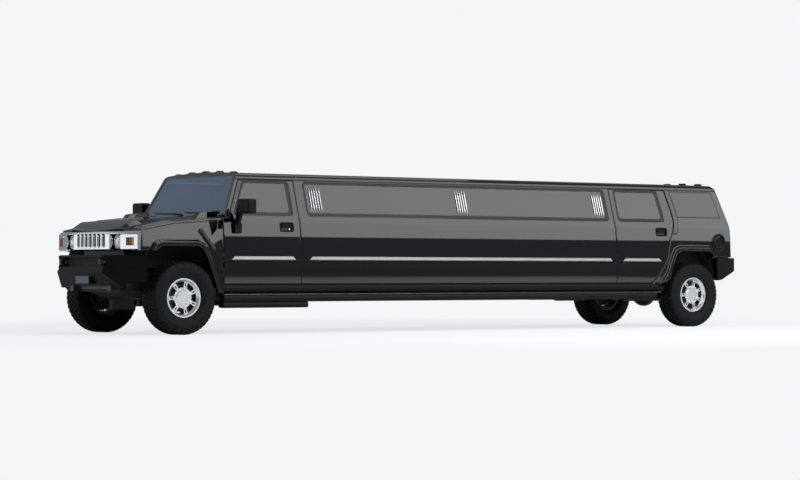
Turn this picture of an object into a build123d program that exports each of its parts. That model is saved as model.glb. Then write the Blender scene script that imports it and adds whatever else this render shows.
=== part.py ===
"""Stretch limousine on an off-road car's body: a ladder frame, a hollow body of separate panels, and its doors and wheels.

Millimetres. +X is forward, +Y is the left side and +Z is up. The origin is on the ground, at the middle of the
overall length. A place along the car is given from the front axle by front(a) or from the rear axle by rear(r), both
positive forward, so that a change of the stretch moves the two ends apart and lengthens what lies between them.
A place across it is given from BODY_HALF, so that a wider body carries its wheels, glass and lamps outward with it.
"""
from build123d import *
import os

# Overall
BASE_WHEELBASE = 3119
STRETCH = 5080
FRONT_OVERHANG = 836
REAR_OVERHANG = 866
BODY_HALF = 1000
ROOF_Z = 1964
BELT_Z = 1335
FLOOR_Z = 600
WHEELBASE = BASE_WHEELBASE + STRETCH
LENGTH = WHEELBASE + FRONT_OVERHANG + REAR_OVERHANG
FAR = 3 * BODY_HALF

# Fits
SHUT_GAP = 8
CORE_INSET = 13
SEAT_GAP = 0.3
PIN_CLEARANCE = 0.3

# Body side: its section's tucks inward from the widest line, and the heights they lie at
WIDEST_Z = 880
SILL_DROP = 130
SILL_TUCK = 12
BELT_TUCK = 25
SHOULDER_TUCK = 25
SHOULDER_RISE = 65
TUMBLEHOME = 138
CANT_DROP = 102
WALL_T = 93
WALL_TOP = 50
SKIN_T = 20
SILL_Z = FLOOR_Z - SILL_DROP
SHOULDER_Z = BELT_Z + SHOULDER_RISE
CANT_Z = ROOF_Z - CANT_DROP
SILL_HALF = BODY_HALF - SILL_TUCK
BELT_HALF = BODY_HALF - BELT_TUCK
SHOULDER_HALF = BELT_HALF - SHOULDER_TUCK
CANT_HALF = SHOULDER_HALF - TUMBLEHOME
INNER_HALF = BELT_HALF - WALL_T

# Glass
GLASS_INSET = 7
GLASS_T = 6
GLASS_EDGE = 12
SILL_TO_GLASS = 37
CANT_TO_GLASS = 34
WINDOW_RADIUS = 30
WINDOW_LOW_Z = SHOULDER_Z + SILL_TO_GLASS
WINDOW_HIGH_Z = CANT_Z - CANT_TO_GLASS

# Roof
ROOF_ROUND = 87
ROOF_CROWN = 28
ROOF_T = 45
ROOF_FRONT_RUN = 85
ROOF_REAR_RUN = 100
FRONT_HEADER = 100
REAR_HEADER = 170
ROOF_EDGE_HALF = CANT_HALF - ROOF_ROUND
ROOF_EDGE_Z = ROOF_Z - ROOF_CROWN
MARKER_SIZE = (60, 88, 40)
MARKER_BACK = 35

# Windscreen: its run rearward from the shoulder to the cant rail, and how far it reaches up the roof's nose
SCREEN_X = -600
SCREEN_RUN = 226
SCREEN_T = 8
SCREEN_INSET = 4
SCREEN_RISE = 46
SCREEN_LIP = 8
PILLAR_WIDTH = 52
COWL_RISE = 26
SCREEN_TOP_Z = CANT_Z + SCREEN_RISE
NOSE_Z = SCREEN_TOP_Z + SCREEN_LIP

# Front door, from the front axle
DOOR_FRONT_X = -565
FRONT_DOOR_LENGTH = 1108
DOOR_REAR_X = DOOR_FRONT_X - FRONT_DOOR_LENGTH
FRAME_FRONT = 44
FRAME_REAR = 85

# Rear door, from the rear axle: its front edge, and its rear edge from the sill up as (x, height over the sill's top)
REAR_DOOR_FRONT_X = 1383
REAR_DOOR_EDGE = [(760, 0), (640, 90), (530, 230), (455, 385), (425, 568), (373, 663), (315, 838), (329, 971)]
REAR_DOOR_TOP_X = 385
HANDLE_FROM_EDGE = 195
HANDLE_Z = BELT_Z - 50
HANDLE_SIZE = (190, 100)

# Body behind the rear door
REAR_STEP = 152
REAR_RAKE = 118
POST_DEPTH = 75
POST_LOW_TUCK = 165
POST_HIGH_TUCK = 92
GATE_DROP = 22
GATE_T = 72
GATE_FRAME = 95
QUARTER_PLATE = (230, 110)
GROOVE = 5
PILLAR_BAND = (14, 84)
LONG_WINDOW_INSET = 150
BODY_REAR_X = REAR_STEP - REAR_OVERHANG
POST_LOW = BELT_HALF - POST_LOW_TUCK
POST_HIGH = CANT_HALF - POST_HIGH_TUCK
GATE_TOP_Z = CANT_Z + GATE_DROP

# Fuel filler on the left, from the body's rear
FILLER_X = BODY_REAR_X + 225
FILLER_Z = BELT_Z - 180
FILLER_RADIUS = 84
FILLER_RING = 18
FILLER_DEPTH = 40
FILLER_PROUD = 5
LID_T = 14
LID_EDGE = 1.5
CAP_SIZE = (36, 15)

# Wheels
WHEEL_TUCK = 118.5
TYRE_RADIUS = 436.5
TYRE_WIDTH = 315
SIDEWALL_DROP = 85
SHOULDER_IN = 32
RIM_RADIUS = 216
RIM_WIDTH = 228
FLANGE_RISE = 17
RIM_T = 9
SPOKES = 7
SPOKE_T = 32
SPOKE_ROOT = 17
SPOKE_END = 25
SPOKE_SLOT = (40, 17)
HUB_RADIUS = 121
CAP_RADIUS = 92
DISC_INSET = 12
DISC_T = 26
SPINDLE_RADIUS = 30
SPINDLE_DEPTH = 45
KINGPIN_OFFSET = 81.5
KINGPIN_RADIUS = 13
TRACK_HALF = BODY_HALF - WHEEL_TUCK
FLANGE_RADIUS = RIM_RADIUS + FLANGE_RISE
DISC_RADIUS = RIM_RADIUS - 51
KINGPIN_Y = TRACK_HALF - KINGPIN_OFFSET

# Wheel arches: each outline runs from its front foot over the wheel to its rear foot. A point is given as its
# distance outside the tyre's front or rear, with that side's sign, and its height over the tyre's top
FRONT_ARCH = [(1, 33, -393), (1, 18, 7), (1, -36, 112), (1, -126, 177), (-1, -251, 177), (-1, -181, 137),
              (-1, -106, 7), (-1, 41, -393)]
FRONT_FLARE = [(1, 33, 100), (1, -31, 212), (1, -106, 247), (-1, -231, 247), (-1, -146, 202), (-1, -51, 32),
               (-1, 103, -393), (-1, 41, -393)]
FRONT_LINER = [(1, 58, -313), (1, 45, 7), (1, -6, 127), (1, -106, 192), (-1, -221, 192), (-1, -136, 157),
               (-1, -16, 7), (-1, 78, -313)]
REAR_ARCH = [(1, 63, -373), (1, -36, -73), (1, -106, 107), (1, -201, 159), (-1, -146, 159), (-1, -86, 117),
             (-1, -16, -73), (-1, 13, -373)]
REAR_FLARE = [(1, 203, -313), (1, 63, -128), (1, -21, 87), (1, -86, 187), (1, -176, 225), (-1, -126, 225),
              (-1, -46, 177), (-1, 18, 72)]
REAR_LINER = [(1, 103, -313), (1, 13, -33), (1, -86, 127), (1, -186, 172), (-1, -136, 172), (-1, -56, 127),
              (-1, 33, -33), (-1, 83, -233)]
FLARE_REACH = 31
ROCKER_SHORT = 30
FLARE_BEVEL = 32
FENDER_WALL = 50
LINER_T = 8
FLARE_HALF = BODY_HALF + FLARE_REACH
FLARE_ROOT = BODY_HALF - 4
REAR_LINER_HALF = TRACK_HALF - TYRE_WIDTH / 2 - 84

# Grille
GRILLE_LOW_Z = 995
GRILLE_HIGH_Z = 1224
GRILLE_CENTRE_X = 690
GRILLE_SAG = 100
GRILLE_TUCK = 80
GRILLE_T = 50
GRILLE_SLOTS = 7
SLOT_PITCH = 97
SLOT_SIZE = (56, 158)
SLOT_Z = 1112
BEVEL = 14
LAMP_Y = 520
LAMP_BOX = (206, 178)
LAMP_RADIUS = 84
LAMP_Z = 1100
SIGNAL_FROM_END = 128
SIGNAL_BOX = (140, 96)
LEG_Y = 390
GRILLE_HALF = BODY_HALF - GRILLE_TUCK
GRILLE_CORNER_X = GRILLE_CENTRE_X - GRILLE_SAG
GRILLE_RADIUS = (GRILLE_HALF ** 2 + GRILLE_SAG ** 2) / (2 * GRILLE_SAG)
GRILLE_ARC_X = GRILLE_CENTRE_X - GRILLE_RADIUS

# Hood and front fenders. Columns: station from the front axle, tuck of the shut line from the body's half width,
# its height below the shoulder, the dome's height over it and the dome's half width
FENDER_FRONT_X = GRILLE_ARC_X + ((GRILLE_RADIUS - GRILLE_T) ** 2 - GRILLE_HALF ** 2) ** 0.5 - SEAT_GAP
FENDER_KNEE = 85
HOOD_REAR_X = DOOR_FRONT_X + SHUT_GAP
HOOD_STATIONS = [(660, 104, 174, 10, 560), (FENDER_FRONT_X, 96, 154, 62, 570), (470, 90, 138, 84, 582),
                 (300, 80, 104, 66, 590), (100, 72, 65, 48, 595), (HOOD_REAR_X, 56, 18, 46, 600)]
# The fender's outer face at each of the last five stations: its tuck from the body's half width
FENDER_TUCKS = [62, 44, 12, 8, 4]
HOOD_T = 28
DOME_SLOPE = 75
HOOD_AXIS_Z = GRILLE_HIGH_Z - 4
HINGE_HALF = 60
VENT_X = (440, 130)
VENT_HALF = 300
VENT_SLATS = 7
SCOOP_FROM_EDGE = (230, 80)
# Columns: station from the front axle, height of the scoop's top over the shoulder
SCOOP_STATIONS = [(-240, -24), (-315, 62), (-590, 86)]
LATCH_RADIUS = 24

# Radiator and its panel
RADIATOR_X = 460
RADIATOR_T = 40

# Front bumper
BUMPER_TOP_Z = 944
BUMPER_LEDGE_Z = 764
BUMPER_LOW_Z = 520
BUMPER_STEP = 16
BUMPER_FACE_HALF = 520
BUMPER_MID = (640, 250)
BUMPER_END = (505, 2)
BUMPER_T = 150
CHIN_RUN = 209
CHIN_RISE = 214
RECESS_HALF = 545
RECESS_Z = (806, 918)
RECESS_RADIUS = 30
RECESS_DEPTH = 85
LOOP_Y = 455
LOOP_RADIUS = 50
LOOP_BORE = 27
LOOP_T = 22
PLATE_HOLES = 177.8
PLATE_HOLE_RADIUS = 3.5
PLATE_PAD = (330, 150)

# Rear bumper
REAR_BUMPER_TOP_Z = 937
REAR_BUMPER_LOW_Z = 630
REAR_BUMPER_FACE = 137
REAR_BUMPER_SLANT = 330
BUMPER_STANDOFF = 20

# Hinge pins
HINGE_RADIUS = 3.6
HINGE_HEIGHTS = (740, 910)
HINGE_LENGTH = 80
HINGE_Y = BODY_HALF + 0.3

# Frame and floor
RAIL_Y = 400
RAIL_WIDTH = 75
RAIL_HEIGHT = 150
RAIL_NOSE_RISE = 100
FLOOR_T = 35
DECK_RISE = 200
DECK_X = 620
FIREWALL_X = -640
FIREWALL_T = 40
CROSS_SPACING = 930
GEARBOX_END_X = -1150
RECEIVER_BORE = 51
RECEIVER_WALL = 12.5
HITCH_PIN_RADIUS = 8
DECK_Z = FLOOR_Z + DECK_RISE
RAIL_TOP_Z = FLOOR_Z - FLOOR_T - SEAT_GAP
RAIL_LOW_Z = RAIL_TOP_Z - RAIL_HEIGHT
RAIL_OUTER = RAIL_Y + RAIL_WIDTH
FRONT_LINER_HALF = RAIL_OUTER + SEAT_GAP
SHAFT_Z = RAIL_LOW_Z + 40
SHAFT_RADIUS = 40

# Suspension
ARM_DROPS = (-136.5, 138.5)
ARM_T = 32
MEMBER_DEPTH = 90

# Steps
BOARD_DEPTH = 96
BOARD_REACH = 12
STEP_DROP = 72
BRACKETS = 6

# Cabin
PARTITION_X = DOOR_REAR_X - 60
PARTITION_T = 30
PARTITION_TOP = BELT_Z - 5
SEAT_WIDTH = 520
SEAT_Y = 400
WHEEL_RADIUS = 185


def front(a):
    """X of a point a millimetres ahead of the front axle."""
    return LENGTH / 2 - FRONT_OVERHANG + a


def rear(r):
    """X of a point r millimetres ahead of the rear axle."""
    return REAR_OVERHANG - LENGTH / 2 + r


def outline(start, *steps):
    """Face from a start point and steps: a point is a straight run to it, and (via, end) is an arc."""
    edges, at = [], start
    for step in steps:
        if isinstance(step[0], tuple):
            edges.append(ThreePointArc(at, step[0], step[1]))
            at = step[1]
        else:
            edges.append(Line(at, step))
            at = step
    edges.append(Line(at, start))
    return make_face(Wire(edges))


def polygon(points):
    return make_face(Polyline(*points, close=True))


def along_x(face, x0, x1):
    """Solid from a face drawn in (Y, Z), from x0 to x1."""
    return extrude(Plane(origin=(x0, 0, 0), x_dir=(0, 1, 0), z_dir=(1, 0, 0)) * face, x1 - x0)


def along_y(face, y0, y1, taper=0):
    """Solid from a face drawn in (X, Z), from y0 to y1; taper narrows it towards y1."""
    return extrude(Plane(origin=(0, y0, 0), x_dir=(-1, 0, 0), z_dir=(0, 1, 0)) * mirror(face, about=Plane.YZ),
                   y1 - y0, taper=taper)


def along_z(face, z0, z1):
    """Solid from a face drawn in (X, Y), from z0 to z1."""
    return extrude(Pos(0, 0, z0) * face, z1 - z0)


def section_at(x, points):
    """Face from (Y, Z) points in the plane across the car at x, for a loft."""
    return Plane(origin=(x, 0, 0), x_dir=(0, 1, 0), z_dir=(1, 0, 0)) * polygon(points)


def box(x0, x1, y0, y1, z0, z1):
    """Box between two corners."""
    return Pos((x0 + x1) / 2, (y0 + y1) / 2, (z0 + z1) / 2) * Box(abs(x1 - x0), abs(y1 - y0), abs(z1 - z0))


def rod(at, direction, radius, length):
    """Cylinder from a point along a direction."""
    return Plane(origin=at, z_dir=direction) * Cylinder(radius, length, align=(Align.CENTER, Align.CENTER, Align.MIN))


def other_side(shape):
    """The same piece on the right side."""
    return mirror(shape, about=Plane.XZ)


def solids_of(shape):
    return [Solid(s.wrapped) for s in shape.solids()]


def group(*shapes):
    """Separate solids kept together in one node."""
    return Compound(children=[s for shape in shapes for s in solids_of(shape)])


def both_sides(shape):
    """A left piece and its right twin, as separate solids of one node."""
    return group(shape, other_side(shape))


# Body side

def side_line(depth):
    """The body side's section, depth millimetres inside its outer face, from the sill to the cant rail."""
    return [(SILL_HALF - depth, SILL_Z), ((BODY_HALF - depth, WIDEST_Z), (BELT_HALF - depth, BELT_Z)),
            (SHOULDER_HALF - depth, SHOULDER_Z), (CANT_HALF - depth, CANT_Z)]


def side_layer(depth0, depth1, x0=-LENGTH / 2, x1=LENGTH / 2):
    """Layer of the left body side between two depths from its outer face."""
    down = [(CANT_HALF - depth1, CANT_Z), (SHOULDER_HALF - depth1, SHOULDER_Z), (BELT_HALF - depth1, BELT_Z),
            ((BODY_HALF - depth1, WIDEST_Z), (SILL_HALF - depth1, SILL_Z))]
    return along_x(outline(*side_line(depth0), *down), x0, x1)


def side_wall(depth=0, x0=-LENGTH / 2, x1=LENGTH / 2):
    """The whole left wall inside a depth from its outer face."""
    down = [(CANT_HALF - WALL_TOP, CANT_Z), (SHOULDER_HALF - WALL_TOP, SHOULDER_Z), (INNER_HALF, BELT_Z),
            (INNER_HALF, SILL_Z)]
    return along_x(outline(*side_line(depth), *down), x0, x1)


def side_block(clearance):
    """Everything inside the body sides' outer faces, grown by a clearance, over the front door."""
    half = [(SILL_HALF + clearance, SILL_Z), ((BODY_HALF + clearance, WIDEST_Z), (BELT_HALF + clearance, BELT_Z)),
            (SHOULDER_HALF + clearance, SHOULDER_Z), (CANT_HALF + clearance, CANT_Z)]
    return along_x(outline((0, SILL_Z), *half, (0, CANT_Z)), front(DOOR_REAR_X), front(DOOR_FRONT_X))


def pillar_x(z):
    """Distance of the windscreen's outer plane from the front axle at a height."""
    return SCREEN_X - SCREEN_RUN * (z - SHOULDER_Z) / (CANT_Z - SHOULDER_Z)


def rear_face_x(z):
    """Distance of the body's rear face from the rear axle: upright to the shoulder, then leaning forward."""
    return BODY_REAR_X + REAR_RAKE * max(0, z - SHOULDER_Z) / (CANT_Z - SHOULDER_Z)


def front_door_outline():
    top = CANT_Z - SHUT_GAP
    shoulder = SHOULDER_Z - SHUT_GAP
    pillar = PILLAR_WIDTH + SHUT_GAP
    return [(front(DOOR_FRONT_X), FLOOR_Z), (front(DOOR_FRONT_X), shoulder),
            (front(pillar_x(shoulder) - pillar), shoulder), (front(pillar_x(top) - pillar), top),
            (front(DOOR_REAR_X), top), (front(DOOR_REAR_X), FLOOR_Z)]


def rear_door_outline():
    top = CANT_Z - SHUT_GAP
    edge = [(rear(x), FLOOR_Z + rise) for x, rise in REAR_DOOR_EDGE]
    return [(rear(REAR_DOOR_FRONT_X), FLOOR_Z), *edge, (rear(REAR_DOOR_TOP_X), top), (rear(REAR_DOOR_FRONT_X), top)]


def window_face(low_front, low_rear, high_rear, high_front):
    """Side window's face in (X, Z), with round corners."""
    face = polygon([(low_front, WINDOW_LOW_Z), (low_rear, WINDOW_LOW_Z), (high_rear, WINDOW_HIGH_Z),
                    (high_front, WINDOW_HIGH_Z)])
    return fillet(face.vertices(), WINDOW_RADIUS)


def front_window_face():
    frame = PILLAR_WIDTH + SHUT_GAP + FRAME_FRONT
    back = front(DOOR_REAR_X + FRAME_REAR)
    return window_face(front(pillar_x(WINDOW_LOW_Z) - frame), back, back, front(pillar_x(WINDOW_HIGH_Z) - frame))


def rear_window_face():
    foot = rear(REAR_DOOR_EDGE[-2][0] + 2 * FRAME_REAR)
    ahead = rear(REAR_DOOR_FRONT_X - FRAME_REAR)
    return window_face(ahead, foot, foot + FRAME_FRONT, ahead)


def long_window_face():
    ahead = front(DOOR_REAR_X - LONG_WINDOW_INSET)
    back = rear(REAR_DOOR_FRONT_X + LONG_WINDOW_INSET - FRAME_FRONT)
    return window_face(ahead, back, back, ahead)


def cut_window(wall, face):
    """The wall with its window cut through and rebated for the glass."""
    hole = along_y(face, 0, FAR)
    rebate = along_y(offset(face, GLASS_EDGE), 0, FAR) & side_layer(-2 * GLASS_EDGE, GLASS_INSET + GLASS_T)
    return wall - hole - rebate


def window_glass(face):
    """The pane that lies in a window's rebate."""
    return along_y(offset(face, GLASS_EDGE - SEAT_GAP), 0, FAR) & side_layer(GLASS_INSET, GLASS_INSET + GLASS_T)


def door(edge, window, handle_x):
    """A left door: an outer skin that overlaps a smaller core, with its window, its handle and the handle's pocket."""
    face = polygon(edge)
    skin = along_y(face, 0, FAR) & side_layer(0, SKIN_T)
    core = along_y(offset(face, -CORE_INSET, kind=Kind.INTERSECTION), 0, FAR) & side_wall(SKIN_T)
    wide, high = HANDLE_SIZE
    pocket_face = Pos(handle_x, HANDLE_Z) * RectangleRounded(wide, high, high / 5)
    pocket = along_y(pocket_face, BELT_HALF - SKIN_T, FAR)
    pull_face = Pos(handle_x, HANDLE_Z + high / 6) * RectangleRounded(wide * 0.72, high * 0.3, high / 8)
    pull = along_y(pull_face, BELT_HALF - 2 * SKIN_T, BELT_HALF + 6)
    return cut_window(skin + core, window) - pocket + pull


def hinge_pins(edge_x):
    """Hinge pins in the shut gap ahead of a left door's front edge, on straps from the panel in front."""
    axis_x = edge_x + SHUT_GAP / 2
    shape = None
    for z in HINGE_HEIGHTS:
        pin = Pos(axis_x, HINGE_Y, z) * Cylinder(HINGE_RADIUS, HINGE_LENGTH)
        strap = box(axis_x, axis_x + SHUT_GAP / 2 + CORE_INSET, HINGE_Y - 9, HINGE_Y - 1, z - HINGE_LENGTH / 2,
                    z + HINGE_LENGTH / 2)
        shape = pin + strap if shape is None else shape + pin + strap
    return shape


def side_panels():
    """The long panels between the doors, with one window each and the rear doors' hinge pins."""
    x0 = rear(REAR_DOOR_FRONT_X) + SHUT_GAP
    x1 = front(DOOR_REAR_X) - SHUT_GAP
    wall = along_y(polygon([(x0, FLOOR_Z), (x1, FLOOR_Z), (x1, CANT_Z), (x0, CANT_Z)]), 0, FAR) & side_wall()
    return both_sides(cut_window(wall, long_window_face()) + hinge_pins(rear(REAR_DOOR_FRONT_X)))


def rockers():
    """The sills below the doors, rounded outside, which run back under the quarter panels to the rear arches."""
    low, high = SILL_Z + 10, FLOOR_Z - SHUT_GAP
    section = outline((INNER_HALF, low), (SILL_HALF - 30, low), ((SILL_HALF + 6, (low + high) / 2), (SILL_HALF - 8, high)),
                      (INNER_HALF, high))
    arch, foot = REAR_ARCH[0], REAR_FLARE[0]
    below_flare = box(rear(0), rear(TYRE_RADIUS + foot[1] + SHUT_GAP), 0, FAR, 2 * TYRE_RADIUS + foot[2] - SHUT_GAP, FAR)
    sill = along_x(section, rear(TYRE_RADIUS + arch[1] + ROCKER_SHORT), front(DOOR_FRONT_X))
    return both_sides(sill - below_flare)


# Wheel arches

def arch_points(table, at):
    """An arch's outline as (X, Z) from its table, around the wheel at at(0)."""
    return [(at(side * (TYRE_RADIUS + out)), 2 * TYRE_RADIUS + rise) for side, out, rise in table]


def flare(table, at, low_points=()):
    """Bevelled lip round a wheel arch, before its opening is cut."""
    face = polygon(arch_points(table, at) + list(low_points))
    return along_y(face, FLARE_ROOT - FENDER_WALL, FLARE_ROOT) + along_y(face, FLARE_ROOT, FLARE_HALF, taper=FLARE_BEVEL)


def arch_cut(table, at):
    """The opening of a wheel arch, from its liner's inner wall outward."""
    return along_y(polygon(arch_points(table, at)), REAR_LINER_HALF, FAR)


def liner(table, at, inner, outer):
    """Wheel house: a sheet over the wheel with a wall on its inner side, open below for the axle."""
    inside = polygon(arch_points(table, at))
    around = along_y(offset(inside, LINER_T, kind=Kind.INTERSECTION), inner, outer)
    low = box(at(-FAR), at(FAR), 0, FAR, 0, RAIL_TOP_Z + 75)
    axle_way = box(at(-0.6 * TYRE_RADIUS), at(0.6 * TYRE_RADIUS), 0, inner + 2 * LINER_T, 0, DECK_Z - 10)
    return around - along_y(inside, inner + LINER_T, FAR) - low - axle_way


def wheel_liners():
    """Black liners of the four wheel houses."""
    gap = FENDER_WALL + SEAT_GAP
    fore = liner(FRONT_LINER, front, FRONT_LINER_HALF, BODY_HALF - FENDER_TUCKS[-1] - gap)
    fender = [(front(x), BODY_HALF - tuck - gap) for (x, *_), tuck in zip(HOOD_STATIONS[1:], FENDER_TUCKS)]
    beyond = polygon(fender + [(front(HOOD_REAR_X), FAR), (front(FENDER_FRONT_X), FAR)])
    aft = liner(REAR_LINER, rear, REAR_LINER_HALF, INNER_HALF - SEAT_GAP)
    return group(both_sides(fore - along_z(beyond, 0, FAR)), both_sides(aft))


# Body behind the rear doors

def rear_band(depth0, depth1, z0, z1):
    """Upright slice of the raked rear end, between two depths from its outer face."""
    heights = [z0, SHOULDER_Z, z1]
    outer = [(rear(rear_face_x(z) + depth0), z) for z in heights]
    inner = [(rear(rear_face_x(z) + depth1), z) for z in reversed(heights)]
    return along_y(polygon(outer + inner), -FAR, FAR)


def gate_face(inset):
    """The rear opening as a face in (Y, Z), made smaller by an inset."""
    low, high = POST_LOW - inset, POST_HIGH - inset
    bottom = REAR_BUMPER_TOP_Z + SHUT_GAP + inset
    top = GATE_TOP_Z - inset
    return polygon([(low, bottom), (low, SHOULDER_Z), (high, top), (-high, top), (-low, SHOULDER_Z), (-low, bottom)])


def quarter_plate_face():
    """Face of the flush plate that closes the rear side window's place."""
    foot, head = QUARTER_PLATE
    low, high = WINDOW_LOW_Z + 56, WINDOW_HIGH_Z + 10
    ahead = rear(REAR_DOOR_EDGE[-2][0] - PILLAR_BAND[1] - 20)
    return polygon([(ahead, low), (rear(rear_face_x(low) + head), low), (rear(rear_face_x(high) + head), high),
                    (ahead + foot / 4, high)])


def pillar_band():
    """The raised band that follows the rear door's edge up to the roof."""
    near, away = PILLAR_BAND
    line = [(x, FLOOR_Z + rise) for x, rise in REAR_DOOR_EDGE[-3:]] + [(REAR_DOOR_TOP_X, CANT_Z)]
    face = polygon([(rear(x - near), z) for x, z in line] + [(rear(x - away), z) for x, z in reversed(line)])
    return along_y(face, 0, FAR) & side_layer(-9, SKIN_T)


def quarter_panels():
    """The body sides behind the rear doors, with the wheel arches and the posts beside the liftgate."""
    low = REAR_BUMPER_TOP_Z + SHUT_GAP
    x1 = rear(REAR_DOOR_EDGE[0][0])
    face = polygon([(rear(BODY_REAR_X), low), (rear(0), low), (rear(0), FLOOR_Z), (x1, FLOOR_Z), (x1, CANT_Z),
                    (rear(rear_face_x(CANT_Z)), CANT_Z), (rear(BODY_REAR_X), SHOULDER_Z)])
    wall = along_y(face, 0, FAR) & side_wall()
    section = outline((0, SILL_Z), *side_line(0), (0, CANT_Z))
    post = rear_band(0, POST_DEPTH, low, CANT_Z) & along_x(section, -LENGTH / 2, LENGTH / 2)
    post = post - along_x(gate_face(0), -LENGTH / 2, LENGTH / 2)
    post = post - box(-LENGTH / 2, LENGTH / 2, -FAR, POST_HIGH - WALL_T, 0, FAR)
    door_gap = along_y(offset(polygon(rear_door_outline()), SHUT_GAP, kind=Kind.INTERSECTION), 0, FAR)
    under = box(rear(-FAR), rear(0), 0, FAR, 0, low)
    plate = quarter_plate_face()
    groove = along_y(offset(plate, GROOVE), 0, FAR) - along_y(plate, 0, FAR)
    panel = wall + post + flare(REAR_FLARE, rear) + pillar_band() - door_gap - arch_cut(REAR_ARCH, rear) - under
    panel = panel - (groove & side_layer(-FLARE_REACH, GROOVE))
    return group(fuel_filler(panel), other_side(panel))


def filler_disc(radius, y, depth):
    """Disc of the fuel filler, its outer face at y."""
    return rod((rear(FILLER_X), y - depth, FILLER_Z), (0, 1, 0), radius, depth)


def fuel_filler(panel):
    """The left panel with the filler's raised ring, its pocket with the cap, and the lid's hinge pin."""
    face_y = BODY_HALF + FILLER_PROUD
    pocket = FILLER_RADIUS + SHUT_GAP
    pin_x = rear(FILLER_X) + FILLER_RADIUS + SHUT_GAP / 2
    cap_radius, cap_height = CAP_SIZE
    shape = panel + filler_disc(pocket + FILLER_RING, face_y, FILLER_DEPTH)
    shape -= filler_disc(pocket, face_y, FILLER_DEPTH)
    shape += filler_disc(cap_radius, face_y - FILLER_DEPTH + cap_height, cap_height + 5)
    shape -= box(pin_x - LID_T, pin_x + LID_T / 2, face_y - LID_T, FAR, FILLER_Z - LID_T, FILLER_Z + LID_T)
    pin = Pos(pin_x, face_y, FILLER_Z) * Cylinder(HINGE_RADIUS, 2 * LID_T - 4)
    strap = box(pin_x, pin_x + CORE_INSET, face_y - 9, face_y - 1, FILLER_Z - LID_T + 2, FILLER_Z + LID_T - 2)
    return shape + pin + strap


def fuel_lid():
    """Round lid of the fuel filler."""
    lid = filler_disc(FILLER_RADIUS, BODY_HALF + FILLER_PROUD, LID_T)
    return chamfer(lid.edges().sort_by(Axis.Y)[-1], LID_EDGE)


def liftgate():
    """Top-hinged rear door, raked above the shoulder: an outer skin over a smaller core, with its window."""
    span = (-LENGTH / 2, LENGTH / 2)
    low, high = REAR_BUMPER_TOP_Z, GATE_TOP_Z
    skin = rear_band(0, SKIN_T, low, high) & along_x(gate_face(SHUT_GAP), *span)
    core = rear_band(SKIN_T, GATE_T, low, high) & along_x(gate_face(SHUT_GAP + CORE_INSET), *span)
    hole = along_x(gate_window_face(0), rear(BODY_REAR_X - 50), rear(0))
    rebate = rear_band(-50, GLASS_INSET + GLASS_T, low, high) & along_x(gate_window_face(GLASS_EDGE), *span)
    return skin + core - hole - rebate


def gate_window_face(grow):
    low, high = POST_LOW - GATE_FRAME + grow, POST_HIGH - GATE_FRAME + grow
    foot, head = WINDOW_LOW_Z - grow, WINDOW_HIGH_Z - GATE_DROP + grow
    return polygon([(low, foot), (high, head), (-high, head), (-low, foot)])


def liftgate_glass():
    pane = rear_band(GLASS_INSET, GLASS_INSET + GLASS_T, REAR_BUMPER_TOP_Z, GATE_TOP_Z)
    return pane & along_x(gate_window_face(GLASS_EDGE - SEAT_GAP), -LENGTH / 2, LENGTH / 2)


def tail_lamps():
    """Upright tail lamps on the rear posts."""
    y0, y1 = POST_LOW + 22, BELT_HALF - 28
    lamp = box(rear(BODY_REAR_X) - 22, rear(BODY_REAR_X) - SEAT_GAP, y0, y1, BELT_Z - 345, BELT_Z - 20)
    return both_sides(chamfer(lamp.edges().filter_by(Axis.Z).sort_by(Axis.X)[:2], 12))


# Roof and windscreen

def roof_steps(drop):
    """The roof's section from the left cant rail to the right, drop millimetres below its outer face."""
    z = ROOF_EDGE_Z - drop
    if drop:
        return [(ROOF_EDGE_HALF, z), ((0, ROOF_Z - drop), (-ROOF_EDGE_HALF, z))]
    bulge = (CANT_HALF - ROOF_ROUND / 4, CANT_Z + (ROOF_EDGE_Z - CANT_Z) * 0.68)
    return [(CANT_HALF, CANT_Z), (bulge, (ROOF_EDGE_HALF, z)), ((0, ROOF_Z), (-ROOF_EDGE_HALF, z)),
            ((-bulge[0], bulge[1]), (-CANT_HALF, CANT_Z))]


def roof_block():
    """Everything between the cant rails and the roof's outer face."""
    return along_x(outline(*roof_steps(0)), rear(BODY_REAR_X), front(pillar_x(CANT_Z)))


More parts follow.
